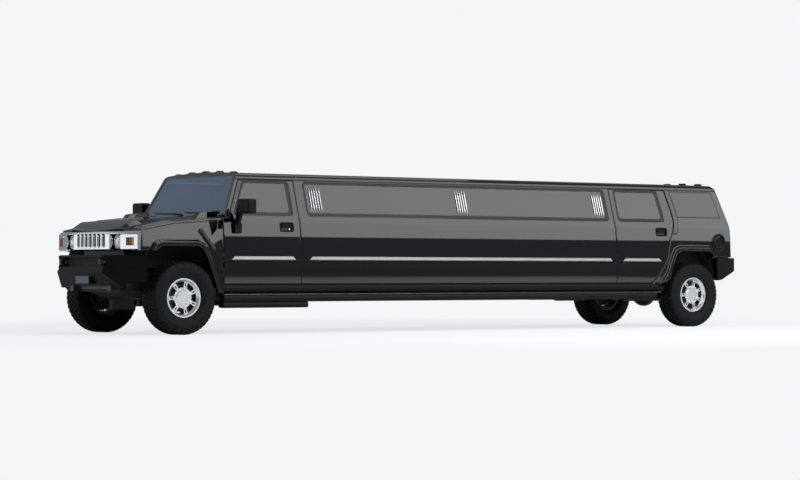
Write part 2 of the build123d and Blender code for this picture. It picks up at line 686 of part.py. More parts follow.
def roof_panel():
    """Crowned roof with its front and rear headers and the liftgate's hinge pin."""
    hollow = outline((CANT_HALF - WALL_TOP, CANT_Z), *roof_steps(ROOF_T), (WALL_TOP - CANT_HALF, CANT_Z))
    x0, x1 = rear(rear_face_x(CANT_Z)), front(pillar_x(CANT_Z))
    roof = roof_block() - along_x(hollow, x0 + REAR_HEADER, x1 - FRONT_HEADER)
    roof = roof - box(x0 - FAR, x0 + GATE_T + SHUT_GAP, -POST_HIGH, POST_HIGH, 0, GATE_TOP_Z)
    slope = polygon([(x1, CANT_Z), (x1 + 50, CANT_Z), (x1 + 50, FAR), (x1 - ROOF_FRONT_RUN, FAR),
                     (x1 - ROOF_FRONT_RUN, ROOF_Z), (front(pillar_x(NOSE_Z)), NOSE_Z)])
    rebate = screen_layer(-50, SCREEN_INSET + SCREEN_T + SEAT_GAP, SEAT_GAP, CANT_Z - 1)
    gate_x = rear(rear_face_x(GATE_TOP_Z))
    tail = polygon([(x0, CANT_Z), (gate_x, GATE_TOP_Z), (gate_x + ROOF_REAR_RUN, ROOF_Z),
                    (gate_x + ROOF_REAR_RUN, FAR), (x0 - FAR, FAR), (x0 - FAR, CANT_Z)])
    pin_z = GATE_TOP_Z - SHUT_GAP / 2
    reach = POST_HIGH - 250
    pin = Pos(gate_x, 0, pin_z) * Rot(90, 0, 0) * Cylinder(HINGE_RADIUS, 2 * reach)
    strap = box(gate_x, gate_x + SHUT_GAP, -reach, reach, pin_z, GATE_TOP_Z + 2)
    return roof - along_y(slope, -FAR, FAR) - along_y(tail, -FAR, FAR) - rebate + pin + strap


def cowl():
    """Firewall, the cowl top under the windscreen and the windscreen pillars."""
    x1 = FIREWALL_X + FIREWALL_T
    half = INNER_HALF - SHUT_GAP
    firewall = box(front(FIREWALL_X), front(x1), -half, half, FLOOR_Z - FLOOR_T, SHOULDER_Z + COWL_RISE - 6)
    top_section = outline((-SHOULDER_HALF, SHOULDER_Z), (SHOULDER_HALF, SHOULDER_Z),
                          (SHOULDER_HALF - 8, SHOULDER_Z + COWL_RISE), (8 - SHOULDER_HALF, SHOULDER_Z + COWL_RISE))
    top = along_x(top_section, front(SCREEN_X - PILLAR_WIDTH), front(x1 - SHUT_GAP))
    top += box(front(x1) - 1, front(HOOD_REAR_X) - SEAT_GAP, -half, half, BELT_Z, SHOULDER_Z)
    foot, head = pillar_x(SHOULDER_Z), pillar_x(CANT_Z)
    line = [(foot, SHOULDER_Z), (head, CANT_Z), (head - PILLAR_WIDTH, CANT_Z), (foot - PILLAR_WIDTH, SHOULDER_Z)]
    pillar = along_y(polygon([(front(x), z) for x, z in line]), 0, FAR) & side_wall()
    return firewall + top + pillar + other_side(pillar)


def screen_layer(near, away, grow, low):
    """Layer of the windscreen's plane between two depths behind it, from a height up, its outline grown."""
    high = SCREEN_TOP_Z + grow
    line = [(pillar_x(low) - near, low), (pillar_x(high) - near, high), (pillar_x(high) - away, high),
            (pillar_x(low) - away, low)]
    lean = TUMBLEHOME / (CANT_Z - SHOULDER_Z)
    foot, head = [SHOULDER_HALF - WALL_TOP - SEAT_GAP + grow - lean * (z - SHOULDER_Z) for z in (low, high)]
    between = polygon([(-foot, low), (foot, low), (head, high), (-head, high)])
    return along_y(polygon([(front(x), z) for x, z in line]), -FAR, FAR) & along_x(between, front(-FAR), front(0))


def windscreen():
    """Flat laminated screen between the pillars, its upper edge let into the roof's nose."""
    return screen_layer(SCREEN_INSET, SCREEN_INSET + SCREEN_T, 0, SHOULDER_Z + COWL_RISE + SEAT_GAP)


# Front end

def hood_points(station, drop=0):
    """Hood's section at a station, from its left shut line to its right, drop millimetres down."""
    x, tuck, below, rise, half = station
    edge = SHOULDER_Z - below - drop
    left = [(BODY_HALF - tuck - SHUT_GAP, edge), (half + DOME_SLOPE, edge + rise * 0.35), (half, edge + rise)]
    return left + [(-y, z) for y, z in reversed(left)]


def hood():
    """Domed hood with its louvred vent and the scoops at its rear corners."""
    faces = [section_at(front(s[0]), hood_points(s) + list(reversed(hood_points(s, HOOD_T)))) for s in HOOD_STATIONS]
    panel = loft(faces, ruled=True)
    pitch = (VENT_X[0] - VENT_X[1]) / VENT_SLATS
    for i in range(VENT_SLATS):
        x = VENT_X[1] + pitch * (i + 0.5)
        slat = Rot(0, 24, 0) * Box(pitch * 0.78, 2 * VENT_HALF, 10)
        panel += Pos(front(x), 0, dome_z(x) + 4) * slat
    inner, outer = [BODY_HALF - HOOD_STATIONS[-1][1] - d for d in SCOOP_FROM_EDGE]
    low = BELT_Z + 5
    faces = [section_at(front(x), [(inner + 40, SHOULDER_Z + top), (outer - 8, SHOULDER_Z + top - 6), (outer, low),
                                   (inner, low)]) for x, top in SCOOP_STATIONS]
    under_screen = box(front(HOOD_REAR_X), front(-FAR), 0, FAR, 0, SHOULDER_Z + COWL_RISE + SHUT_GAP)
    scoop = loft(faces, ruled=True) - under_screen
    return (panel + scoop + other_side(scoop)) & along_z(hood_plan(), 0, FAR)


def dome_z(x):
    """Height of the hood's dome at a distance from the front axle."""
    for ahead, behind in zip(HOOD_STATIONS, HOOD_STATIONS[1:]):
        if x >= behind[0]:
            share = (x - behind[0]) / (ahead[0] - behind[0])
            tops = [SHOULDER_Z - s[2] + s[3] for s in (ahead, behind)]
            return tops[1] + share * (tops[0] - tops[1])
    return SHOULDER_Z - HOOD_STATIONS[-1][2] + HOOD_STATIONS[-1][3]


def grille_x(y):
    """Distance of the grille's front face from the front axle at a half width."""
    return GRILLE_ARC_X + (GRILLE_RADIUS ** 2 - y ** 2) ** 0.5


def hood_plan():
    """Plan of everything behind the hood's front edge, which runs along the grille's back."""
    back = GRILLE_T + SHUT_GAP
    x = front(GRILLE_CORNER_X - back)
    tail = front(SCREEN_X - SCREEN_RUN)
    return outline((x, GRILLE_HALF), ((front(GRILLE_CENTRE_X - back), 0), (x, -GRILLE_HALF)), (tail, -GRILLE_HALF),
                   (tail, GRILLE_HALF))


def bevelled_cut(face, bevelled, y, z):
    """Cutter along X for an opening in the grille, with its front edges bevelled."""
    plane = Plane(origin=(front(GRILLE_CENTRE_X) + 3, y, z), x_dir=(0, 1, 0), z_dir=(-1, 0, 0))
    return plane * (extrude(face, 2 * GRILLE_SAG) + extrude(bevelled, 26 + GRILLE_CENTRE_X - grille_x(abs(y)), taper=24))


def grille_shell():
    """One-piece grille, rounded over its top, with its slots, lamp boxes and signal boxes, and the hood's hinge pin."""
    radius = GRILLE_RADIUS
    back = radius - GRILLE_T
    low, high = GRILLE_LOW_Z, GRILLE_HIGH_Z
    section = outline((back, low), (radius - 12, low), (radius, low + 16), (radius, high - 62),
                      ((radius - 9, high - 24), (radius - GRILLE_T + 12, high)), (back, high))
    arc = revolve(Plane.XZ * section, Axis.Z, revolution_arc=40)
    ring = Pos(front(GRILLE_ARC_X), 0, 0) * Rot(0, 0, 20 - 40 * (arc.center().Y > 0)) * arc
    shell = ring & box(front(0), front(FAR), -GRILLE_HALF, GRILLE_HALF, 0, FAR)
    wide, high_slot = SLOT_SIZE
    for i in range(GRILLE_SLOTS):
        y = (i - (GRILLE_SLOTS - 1) / 2) * SLOT_PITCH
        faces = [SlotOverall(high_slot + g, wide + g, rotation=90) for g in (0, 2 * BEVEL)]
        shell -= bevelled_cut(*faces, y, SLOT_Z)
    signal_y = GRILLE_HALF - SIGNAL_FROM_END
    for y, (w, h) in ((LAMP_Y, LAMP_BOX), (-LAMP_Y, LAMP_BOX), (signal_y, SIGNAL_BOX), (-signal_y, SIGNAL_BOX)):
        shell -= bevelled_cut(Rectangle(w, h), Rectangle(w + 2 * BEVEL, h + 2 * BEVEL), y, LAMP_Z)
    leg_end = front(grille_x(LEG_Y) - GRILLE_T) + 12
    for y in (-LEG_Y, LEG_Y):
        shell += box(front(RADIATOR_X + RADIATOR_T) + SEAT_GAP, leg_end, y - 12, y + 12, low + 20, high - 60)
    behind = front(GRILLE_CENTRE_X - GRILLE_T)
    strap = box(behind - 1, behind + 5, -HINGE_HALF, HINGE_HALF, high - 40, HOOD_AXIS_Z)
    pin = Pos(behind - SHUT_GAP / 2, 0, HOOD_AXIS_Z) * Rot(90, 0, 0) * Cylinder(HINGE_RADIUS, 2 * HINGE_HALF)
    return shell + strap + pin


def headlamps():
    """Round headlamps on the panel behind the grille."""
    x0 = front(RADIATOR_X + RADIATOR_T) + SEAT_GAP
    depth = front(grille_x(LAMP_Y) - 24) - x0
    lamp = rod((x0, LAMP_Y, LAMP_Z), (1, 0, 0), LAMP_RADIUS, depth)
    return both_sides(fillet(lamp.edges().sort_by(Axis.X)[-1], 12))


def marker_lamps():
    """Amber lamps: the signals in the grille, and five markers at each end of the roof."""
    wide, high = SIGNAL_BOX
    y = GRILLE_HALF - SIGNAL_FROM_END
    x0 = front(RADIATOR_X + RADIATOR_T) + SEAT_GAP
    x1 = front(grille_x(y + wide / 2) - 16)
    solids = [both_sides(box(x0, x1, y - wide / 2 + 3, y + wide / 2 - 3, LAMP_Z - high / 2 + 3, LAMP_Z + high / 2 - 3))]
    ahead = front(pillar_x(CANT_Z) - ROOF_FRONT_RUN - MARKER_BACK)
    for x in (ahead, rear(rear_face_x(GATE_TOP_Z) + ROOF_REAR_RUN + MARKER_BACK)):
        for i in range(-2, 3):
            y = i * (ROOF_EDGE_HALF - 105) / 2
            crown = ROOF_Z - ROOF_CROWN * (y / ROOF_EDGE_HALF) ** 2
            lamp = Pos(x, y, crown - 2) * Box(*MARKER_SIZE)
            lamp = chamfer(lamp.edges().filter_by(Axis.Y).sort_by(Axis.Z)[-2:], 14)
            solids.append(lamp - Pos(0, 0, SEAT_GAP) * roof_block())
    return group(*solids)


def radiator_support():
    """Radiator and the panel that carries the grille, the lamps and the fenders' front ends."""
    x0, x1 = front(RADIATOR_X), front(RADIATOR_X + RADIATOR_T)
    rail_top = RAIL_TOP_Z + RAIL_NOSE_RISE + SEAT_GAP
    top = GRILLE_HIGH_Z - 34
    core = box(x0, x1, -RAIL_OUTER + 15, RAIL_OUTER - 15, rail_top, top)
    half = BODY_HALF - FENDER_TUCKS[0] - FENDER_WALL - 10
    return core + box(x0, x1, -half, half, GRILLE_LOW_Z + 10, top)


def fender_points(station, tuck):
    """Left fender's section at a station in (Y, Z), up to the hood's shut line."""
    x, edge_tuck, below, *_ = station
    half, edge = BODY_HALF - tuck, BODY_HALF - edge_tuck
    top, low = SHOULDER_Z - below, SILL_Z + 10
    crease = top - 0.4 * (top - GRILLE_LOW_Z)
    outer = [(half, low), (half, GRILLE_LOW_Z + 40), (half - 0.25 * (half - edge), crease), (edge, top)]
    return outer + [(edge, top - 60), (half - FENDER_WALL, GRILLE_LOW_Z + FENDER_KNEE), (half - FENDER_WALL, low)]


def front_fenders():
    """Front fenders with their flares, the side vent, the hood's latches and the front doors' hinge pins."""
    faces = [section_at(front(s[0]), fender_points(s, tuck)) for s, tuck in zip(HOOD_STATIONS[1:], FENDER_TUCKS)]
    ahead = front(TYRE_RADIUS + FRONT_ARCH[1][1] - 55)
    nose_low = box(ahead, front(FAR), 0, FAR, 0, GRILLE_LOW_Z)
    lip = flare(FRONT_FLARE, front) - box(front(HOOD_REAR_X), front(-FAR), 0, FAR, 0, FAR)
    vent_line = [(-385, 42), (-495, 38), (-474, 145), (-396, 226)]
    vent = along_y(polygon([(front(x), SHOULDER_Z - drop) for x, drop in vent_line]), BODY_HALF - 75, FAR)
    fender = loft(faces, ruled=True) + lip - vent + hood_latch() - nose_low - arch_cut(FRONT_ARCH, front)
    return both_sides(fender + hinge_pins(front(DOOR_FRONT_X)))


def hood_latch():
    """T-handled hood latch on the left fender, a tube with a cross grip at its upper end."""
    top = Vector(front(-245), BODY_HALF - 14, BELT_Z - 108)
    foot = Vector(front(-420), BODY_HALF + 14, BELT_Z - 335)
    tube = rod(top, foot - top, LATCH_RADIUS, (foot - top).length)
    grip = rod(top - Vector(0, 14, 0), (0, 1, 0), LATCH_RADIUS + 3, 28)
    clamp_at = top + (foot - top) * 0.8
    clamp = Pos(clamp_at.X, clamp_at.Y - 10, clamp_at.Z) * Rot(0, 38, 0) * Box(60, 52, 34)
    return tube + grip + clamp


# Bumpers and what they carry

def bumper_plan(shift, low_half=0):
    """Front bumper's plan, its outer face moved back by shift."""
    (mid_x, mid_tuck), (end_x, end_out) = BUMPER_MID, BUMPER_END
    mid_y, end_y = BODY_HALF - mid_tuck, BODY_HALF + end_out
    outer = [(FRONT_OVERHANG - shift, BUMPER_FACE_HALF), (mid_x - shift, mid_y), (end_x, end_y)]
    inner = [(end_x, end_y - 75), (mid_x - 80, mid_y - 85), (FRONT_OVERHANG - BUMPER_T, RAIL_OUTER + 10)]
    left = outer + inner
    return polygon([(front(x), y) for x, y in left] + [(front(x), -y) for x, y in reversed(left)])


def front_bumper():
    """Moulded front bumper, swept back at its ends: an upper part with a recess, and a lower part with a raked chin."""
    upper = along_z(bumper_plan(BUMPER_STEP), BUMPER_LEDGE_Z, BUMPER_TOP_Z)
    crest = upper.edges().group_by(Axis.Z)[-1].filter_by(lambda e: e.center().X > front(BUMPER_END[0] + 40))
    upper = chamfer(crest, 14)
    lower = along_z(bumper_plan(0), BUMPER_LOW_Z, BUMPER_LEDGE_Z)
    chin_top = BUMPER_LOW_Z + CHIN_RISE
    chin = polygon([(front(FRONT_OVERHANG + 1), chin_top), (front(FRONT_OVERHANG + 1), 0), (front(0), 0),
                    (front(FRONT_OVERHANG - CHIN_RUN - BUMPER_T), BUMPER_LOW_Z),
                    (front(FRONT_OVERHANG - CHIN_RUN), BUMPER_LOW_Z)])
    mid = BUMPER_MID[0]
    ends = polygon([(front(mid + 20), 0), (front(mid + 20), BUMPER_LOW_Z + 80), (front(0), BUMPER_LOW_Z + 230), (front(0), 0)])
    ends = along_y(ends, BODY_HALF - BUMPER_MID[1] - 110, FAR)
    face = Pos(0, sum(RECESS_Z) / 2) * RectangleRounded(2 * RECESS_HALF, RECESS_Z[1] - RECESS_Z[0], RECESS_RADIUS)
    recess = along_x(face, front(FRONT_OVERHANG - RECESS_DEPTH), front(FAR))
    wide, high = PLATE_PAD
    pad_x = front(FRONT_OVERHANG - 40)
    pad_z = BUMPER_LEDGE_Z - 12 - high / 2
    pad = box(front(FRONT_OVERHANG - CHIN_RUN), pad_x, -wide / 2, wide / 2, pad_z - high / 2, pad_z + high / 2)
    shape = upper + (lower - along_y(chin, -FAR, FAR)) - ends - other_side(ends) - recess
    return shape + pad - plate_holes(pad_x - 30, pad_x + FAR, pad_z + high / 2 - 14)


def plate_holes(x0, x1, z):
    """The pair of screw holes for a number plate, along X."""
    hole = along_x(Pos(PLATE_HOLES / 2, z) * Circle(PLATE_HOLE_RADIUS), x0, x1)
    return hole + other_side(hole)


def tow_loops():
    """Forged towing loops in the front bumper's recess."""
    wall = FRONT_OVERHANG - RECESS_DEPTH + SEAT_GAP
    x = FRONT_OVERHANG - LOOP_RADIUS - 1
    z = sum(RECESS_Z) / 2
    ring = rod((front(x), LOOP_Y - LOOP_T / 2, z), (0, 1, 0), LOOP_RADIUS, LOOP_T)
    shank = box(front(wall), front(x), LOOP_Y - LOOP_T / 2, LOOP_Y + LOOP_T / 2, z - 34, z + 34)
    bore = rod((front(x), LOOP_Y - LOOP_T, z), (0, 1, 0), LOOP_BORE, 2 * LOOP_T)
    return both_sides((ring + shank - bore) & box(front(wall), front(FAR), 0, FAR, 0, FAR))


def skid_plate():
    """Folded steel plate under the nose, from the bumper's chin back to the suspension's cross member."""
    back_z = RAIL_LOW_Z + RAIL_NOSE_RISE - MEMBER_DEPTH - 2 * SEAT_GAP
    line = [(FRONT_OVERHANG - CHIN_RUN - 20, BUMPER_LOW_Z - SEAT_GAP), (FRONT_OVERHANG - CHIN_RUN - 130, BUMPER_LOW_Z - SEAT_GAP),
            (330, back_z + 20), (160, back_z), (-100, back_z)]
    under = [(x, z - 7) for x, z in reversed(line)]
    return along_y(polygon([(front(x), z) for x, z in line + under]), -RAIL_Y + 30, RAIL_Y - 30)


def rear_bumper():
    """Moulded rear bumper that wraps round to the rear arches."""
    x0 = -REAR_OVERHANG
    end_x = -TYRE_RADIUS - REAR_ARCH[-2][1] - 30
    half = [(x0, BODY_HALF - 140), (x0 + 90, BODY_HALF), (end_x, BODY_HALF + 8)]
    inner = [(end_x, BODY_HALF - 60), (BODY_REAR_X - BUMPER_STANDOFF, BODY_HALF - 100)]
    left = half + inner
    plan = polygon([(rear(x), y) for x, y in left] + [(rear(x), -y) for x, y in reversed(left)])
    shape = along_z(plan, REAR_BUMPER_LOW_Z, REAR_BUMPER_TOP_Z)
    under = polygon([(rear(x0 - 20), REAR_BUMPER_TOP_Z - REAR_BUMPER_FACE), (rear(x0), REAR_BUMPER_TOP_Z - REAR_BUMPER_FACE),
                     (rear(x0 + REAR_BUMPER_SLANT), REAR_BUMPER_LOW_Z + 10), (rear(end_x + 20), REAR_BUMPER_LOW_Z - 6),
                     (rear(x0 - 20), REAR_BUMPER_LOW_Z - 6)])
    step = box(rear(x0 + 20), rear(x0 + 110), -420, 420, REAR_BUMPER_TOP_Z - 12, FAR)
    holes = plate_holes(rear(x0) - 10, rear(x0) + 40, REAR_BUMPER_TOP_Z - 40)
    return shape - along_y(under, -FAR, FAR) - step - holes


def running_boards():
    """Full-length boards under the sills on brackets from the frame, with a lower step below each door."""
    top = SILL_Z + 2
    low = top - BOARD_DEPTH + 8
    half = BODY_HALF + BOARD_REACH
    section = outline((half - 82, top), (half, top), ((half + 18, top - 32), (half - 2, low)), (half - 82, low))
    x1, x0 = front(DOOR_FRONT_X + 20), rear(REAR_DOOR_EDGE[0][0] - 60)
    board = along_x(section, x0, x1)
    deep = outline((half - 110, low), (half - 12, low), ((half + 3, low - 39), (half - 17, low - STEP_DROP)),
                   (half - 110, low - STEP_DROP + 6))
    board += along_x(deep, front(DOOR_REAR_X - 100), x1)
    shallow = outline((half - 110, low), (half - 12, low), ((half - 4, low - 16), (half - 17, low - 28)),
                      (half - 110, low - 28))
    board += along_x(shallow, rear(REAR_DOOR_EDGE[1][0] - 40), rear(REAR_DOOR_FRONT_X - 106))
    for i in range(BRACKETS):
        x = x0 + 300 + (x1 - x0 - 600) * i / (BRACKETS - 1)
        board += box(x - 30, x + 30, RAIL_OUTER + SEAT_GAP, half - 75, RAIL_LOW_Z + 25, top)
    return both_sides(board)


# Frame and running gear

def rail_outline():
    """Side outline of a frame rail, which rises under the deck and ahead of the cab."""
    line = [(front(FRONT_OVERHANG - BUMPER_T - SEAT_GAP), RAIL_NOSE_RISE), (front(-320), RAIL_NOSE_RISE),
            (front(FIREWALL_X + FIREWALL_T), 0), (rear(DECK_X - 5), 0), (rear(DECK_X - 220), DECK_RISE),
            (rear(BODY_REAR_X - BUMPER_STANDOFF + SEAT_GAP), DECK_RISE)]
    upper = [(x, RAIL_TOP_Z + rise) for x, rise in line]
    lower = [(x, RAIL_LOW_Z + rise) for x, rise in reversed(line)]
    return polygon(upper + lower)


def cross_members():
    """Places along X of the frame's evenly spaced cross members."""
    x0, x1 = rear(DECK_X + 140), front(GEARBOX_END_X - 90)
    bays = max(1, round((x1 - x0) / CROSS_SPACING))
    return [x0 + (x1 - x0) * i / bays for i in range(bays + 1)]


def chassis_frame():
    """Ladder frame: two box rails with cross members, and the hitch receiver at the rear."""
    rail = along_y(rail_outline(), RAIL_Y, RAIL_OUTER)
    frame = rail + other_side(rail)
    half = RAIL_Y + 10
    for x in cross_members():
        frame += box(x - 35, x + 35, -half, half, RAIL_TOP_Z - 45, RAIL_TOP_Z - 5)
    over_axle = RAIL_LOW_Z + DECK_RISE
    frame += box(rear(310), rear(380), -half, half, over_axle + 80, over_axle + 130)
    back = BODY_REAR_X + 74
    frame += box(rear(back), rear(back + 60), -half, half, over_axle - 80, over_axle + 60)
    nose = FRONT_OVERHANG - BUMPER_T - 66
    frame += box(front(nose - 60), front(nose), -half, half, RAIL_LOW_Z + RAIL_NOSE_RISE + 20,
                 RAIL_LOW_Z + RAIL_NOSE_RISE + 100)
    z = over_axle - 45
    outer, bore = RECEIVER_BORE / 2 + RECEIVER_WALL, RECEIVER_BORE / 2
    receiver = box(rear(10 - REAR_OVERHANG), rear(back + 40), -outer, outer, z - outer, z + outer)
    way = box(rear(-REAR_OVERHANG), rear(back + 20), -bore, bore, z - bore, z + bore)
    pin = rod((rear(60 - REAR_OVERHANG), -2 * outer, z), (0, 1, 0), HITCH_PIN_RADIUS, 4 * outer)
    return frame + receiver - way - pin


def floor_pan():
    """Cabin floor, the raised deck over the rear axle, the rear panel and the partition behind the driver."""
    half, by_door, narrow = INNER_HALF - SEAT_GAP, INNER_HALF - SHUT_GAP, REAR_LINER_HALF - SEAT_GAP
    x0, tail = rear(DECK_X), rear(BODY_REAR_X + 30)
    low, deck_low = FLOOR_Z - FLOOR_T, DECK_Z - FLOOR_T
    arch_front = rear(TYRE_RADIUS + REAR_LINER[0][1] + 20)
    arch_rear = rear(-TYRE_RADIUS - REAR_LINER[-1][1] - 20)
    floor = box(x0, front(FIREWALL_X) - SEAT_GAP, -half, half, low, FLOOR_Z)
    floor += box(x0, x0 + FLOOR_T, -by_door, by_door, low, DECK_Z)
    floor += box(tail, x0 + 10, -narrow, narrow, deck_low, DECK_Z)
    floor += box(arch_front, x0 + 10, -by_door, by_door, deck_low, DECK_Z)
    floor += box(tail, arch_rear, -half, half, deck_low, DECK_Z)
    floor += box(rear(BODY_REAR_X), tail + 10, -half, half, deck_low, REAR_BUMPER_TOP_Z - SEAT_GAP)
    wall_x = front(PARTITION_X)
    return floor + box(wall_x - PARTITION_T, wall_x, -half + 4, half - 4, FLOOR_Z - 1, PARTITION_TOP)


def engine():
    """Engine and gearbox as one plain block at its real place and size."""
    low = RAIL_LOW_Z - 15
    block = box(front(-560), front(260), -290, 290, FLOOR_Z - 10, BELT_Z - 205)
    gearbox = box(front(GEARBOX_END_X), front(-500), -160, 160, low, FLOOR_Z - FLOOR_T - 25)
    throat = box(front(-560), front(-420), -160, 160, low, FLOOR_Z + 20)
    return block + gearbox + throat


def control_arm(y0, z):
    """Wishbone from y0 out to the ball joint's boss, with the bore for its pin."""
    plan = [(front(150), y0), (front(45), KINGPIN_Y - 20), (front(38), KINGPIN_Y + 18)]
    window = [(front(85), y0 + 55), (front(20), KINGPIN_Y - 90)]
    plan, window = [line + [(2 * front(0) - x, y) for x, y in reversed(line)] for line in (plan, window)]
    bore = Pos(front(0), KINGPIN_Y, z) * Cylinder(KINGPIN_RADIUS + PIN_CLEARANCE, 3 * ARM_T)
    arm = along_z(polygon(plan), z - ARM_T / 2, z + ARM_T / 2)
    return arm - along_z(polygon(window), z - ARM_T, z + ARM_T) - bore


def front_suspension():
    """Cross member under the rails with the lower control arms, and the upper arms on the rails."""
    rail_low = RAIL_LOW_Z + RAIL_NOSE_RISE - SEAT_GAP
    lower_z, upper_z = [TYRE_RADIUS + drop for drop in ARM_DROPS]
    member = box(front(-110), front(110), -RAIL_OUTER, RAIL_OUTER, rail_low - MEMBER_DEPTH, rail_low)
    hanger = box(front(-150), front(150), RAIL_OUTER - 95, RAIL_OUTER - 15, lower_z - ARM_T / 2, rail_low - 10)
    lower = control_arm(RAIL_OUTER - 90, lower_z)
    upper = control_arm(RAIL_OUTER + SEAT_GAP, upper_z)
    return group(member + hanger + other_side(hanger) + lower + other_side(lower), both_sides(upper))


def stub_axle(x, y0):
    """Left spindle from y0 out into the wheel's bore."""
    end = TRACK_HALF + DISC_INSET + SPINDLE_DEPTH - 2
    return rod((x, y0, TYRE_RADIUS), (0, 1, 0), SPINDLE_RADIUS, end - y0)


def knuckle():
    """Left steering knuckle with its pins in the arms' bosses, its spindle and its brake calliper."""
    z = TYRE_RADIUS
    low, high = z + ARM_DROPS[0] + ARM_T / 2 + 6, z + ARM_DROPS[1] - ARM_T / 2 - 6
    upright = box(front(-42), front(42), KINGPIN_Y - 30, KINGPIN_Y + 26, low, high)
    pins = Pos(front(0), KINGPIN_Y, (low + high) / 2) * Cylinder(KINGPIN_RADIUS, high - low + ARM_T + 8)
    arm_y = KINGPIN_Y - 75
    steer_arm = box(front(-160), front(-30), arm_y, arm_y + 30, z - 95, z - 65)
    steer_arm += box(front(-60), front(-30), arm_y, KINGPIN_Y, z - 95, z - 65)
    calliper = box(front(50), front(135), KINGPIN_Y - 25, TRACK_HALF + DISC_INSET - 6, z - 65, z + 65)
    bracket = box(front(30), front(60), KINGPIN_Y - 25, KINGPIN_Y + 10, z - 40, z + 40)
    return upright + pins + stub_axle(front(0), KINGPIN_Y + 20) + steer_arm + calliper + bracket


def rear_axle():
    """Live rear axle with its differential, links, springs and stub axles."""
    z = TYRE_RADIUS
    stub = stub_axle(rear(0), KINGPIN_Y)
    tube = Pos(rear(0), 0, z) * Rot(90, 0, 0) * Cylinder(48, 2 * (KINGPIN_Y + 55))
    cover = (Pos(rear(0), 0, z) * Sphere(165)) & box(rear(-150), rear(170), -150, 150, 0, FAR)
    nose = Pos(rear(140), 0, z) * Rot(0, 90, 0) * Cone(110, 55, 140, align=(Align.CENTER, Align.CENTER, Align.MIN))
    axle = tube + cover + nose + stub + other_side(stub)
    link_line = [(rear(0), z - 90), (rear(0), z - 30), (rear(DECK_X + 200), RAIL_LOW_Z + 55),
                 (rear(DECK_X + 200), RAIL_LOW_Z + 15)]
    link = along_y(polygon(link_line), RAIL_OUTER + 25, RAIL_OUTER + 70)
    seat_y = RAIL_OUTER + 85
    boss = rod((rear(0), seat_y - 60, z), (0, 1, 0), 75, 120)
    spring = rod((rear(0), seat_y, z + 60), (0, 0, 1), 55, DECK_Z - FLOOR_T - SEAT_GAP - z - 60)
    corner = link + boss + spring
    return axle + corner + other_side(corner)


def driveshaft():
    """Propeller shaft in lengths, with a bearing hanger at every other cross member."""
    x1, x0 = front(GEARBOX_END_X) - SEAT_GAP, rear(280) + SEAT_GAP
    shaft = rod((x0, 0, SHAFT_Z), (1, 0, 0), SHAFT_RADIUS, x1 - x0)
    for x in cross_members()[1:-1:2]:
        shaft += box(x - 22, x + 22, -70, 70, SHAFT_Z - 50, RAIL_TOP_Z - 45 - SEAT_GAP)
    return shaft


def exhaust():
    """Exhaust pipe along the right rail with a silencer ahead of the rear axle."""
    y, z = -250, RAIL_LOW_Z + 15
    x1, x0 = front(-700), rear(DECK_X + 280)
    pipe = rod((x0, y, z), (1, 0, 0), 32, x1 - x0)
    silencer = rod((x0, y, z), (1, 0, 0), 80, 500)
    hanger = box(x1 - 60, x1 - 30, y - 15, -160 - SEAT_GAP, z - 12, z + 12)
    return pipe + silencer + hanger


def fuel_tank():
    """Fuel tank between the shaft and the left rail."""
    x0 = rear(DECK_X + 380)
    tank = box(x0, x0 + 900, SHAFT_RADIUS + 70, RAIL_Y - SEAT_GAP, RAIL_LOW_Z - 15, RAIL_LOW_Z + 85)
    return chamfer(tank.edges().filter_by(Axis.X), 14)


# Wheels

def rim():
    """Cast wheel about the Y axis for the left side: barrel, slotted spokes, hub with its cap, and brake disc."""
    half = RIM_WIDTH / 2
    seat = RIM_RADIUS - 4
    section = outline((seat - 18, -half), (FLANGE_RADIUS, -half), (FLANGE_RADIUS, 9 - half), (seat, 12 - half),
                      (seat - 14, 0), (seat, half - 14), (FLANGE_RADIUS, half - 11), (FLANGE_RADIUS, half),
                      (seat + 2, half), (seat - 15, half - 22), (seat - 14 - RIM_T, half - 30), (seat - 14 - RIM_T, 0))
    wheel = revolve(section, Axis.Y)
    length, width = SPOKE_SLOT
    root = CAP_RADIUS - 30
    plan = polygon([(root, -SPOKE_ROOT), (seat - 18, -SPOKE_END), (seat - 18, SPOKE_END), (root, SPOKE_ROOT)])
    middle = (HUB_RADIUS + seat - 14) / 2
    plan = plan - Pos(middle, 0) * SlotOverall(length, width)
    for i in range(SPOKES):
        wheel += Rot(0, i * 360 / SPOKES, 0) * Pos(0, half - 52, 0) * Rot(-90, 0, 0) * extrude(plan, SPOKE_T)
    base = (Align.CENTER, Align.CENTER, Align.MIN)
    hub = Pos(0, half - 56, 0) * Rot(-90, 0, 0) * Cylinder(HUB_RADIUS, 30, align=base)
    cap = Pos(0, half - 30, 0) * Rot(-90, 0, 0) * Cylinder(CAP_RADIUS, 16, align=base)
    cap = chamfer(cap.edges().sort_by(Axis.Y)[-1], 6)
    inner = Pos(0, DISC_INSET, 0) * Rot(-90, 0, 0)
    bell = inner * Cylinder(80, half - 56 - DISC_INSET + 5, align=base)
    disc = inner * Cylinder(DISC_RADIUS, DISC_T, align=base)
    bore = inner * Cylinder(SPINDLE_RADIUS + PIN_CLEARANCE, SPINDLE_DEPTH, align=base)
    return wheel + hub + cap + bell + disc - bore


def tyre():
    """Off-road tyre about the Y axis, without its tread pattern."""
    half = TYRE_WIDTH / 2
    bead = RIM_WIDTH / 2 - 14 - SEAT_GAP
    line = [(RIM_RADIUS - 4 + SEAT_GAP, bead), (FLANGE_RADIUS + SEAT_GAP, bead + 3 - SEAT_GAP),
            (TYRE_RADIUS - SIDEWALL_DROP, half), (TYRE_RADIUS, half - SHOULDER_IN)]
    return revolve(polygon(line + [(r, -w) for r, w in reversed(line)]), Axis.Y)


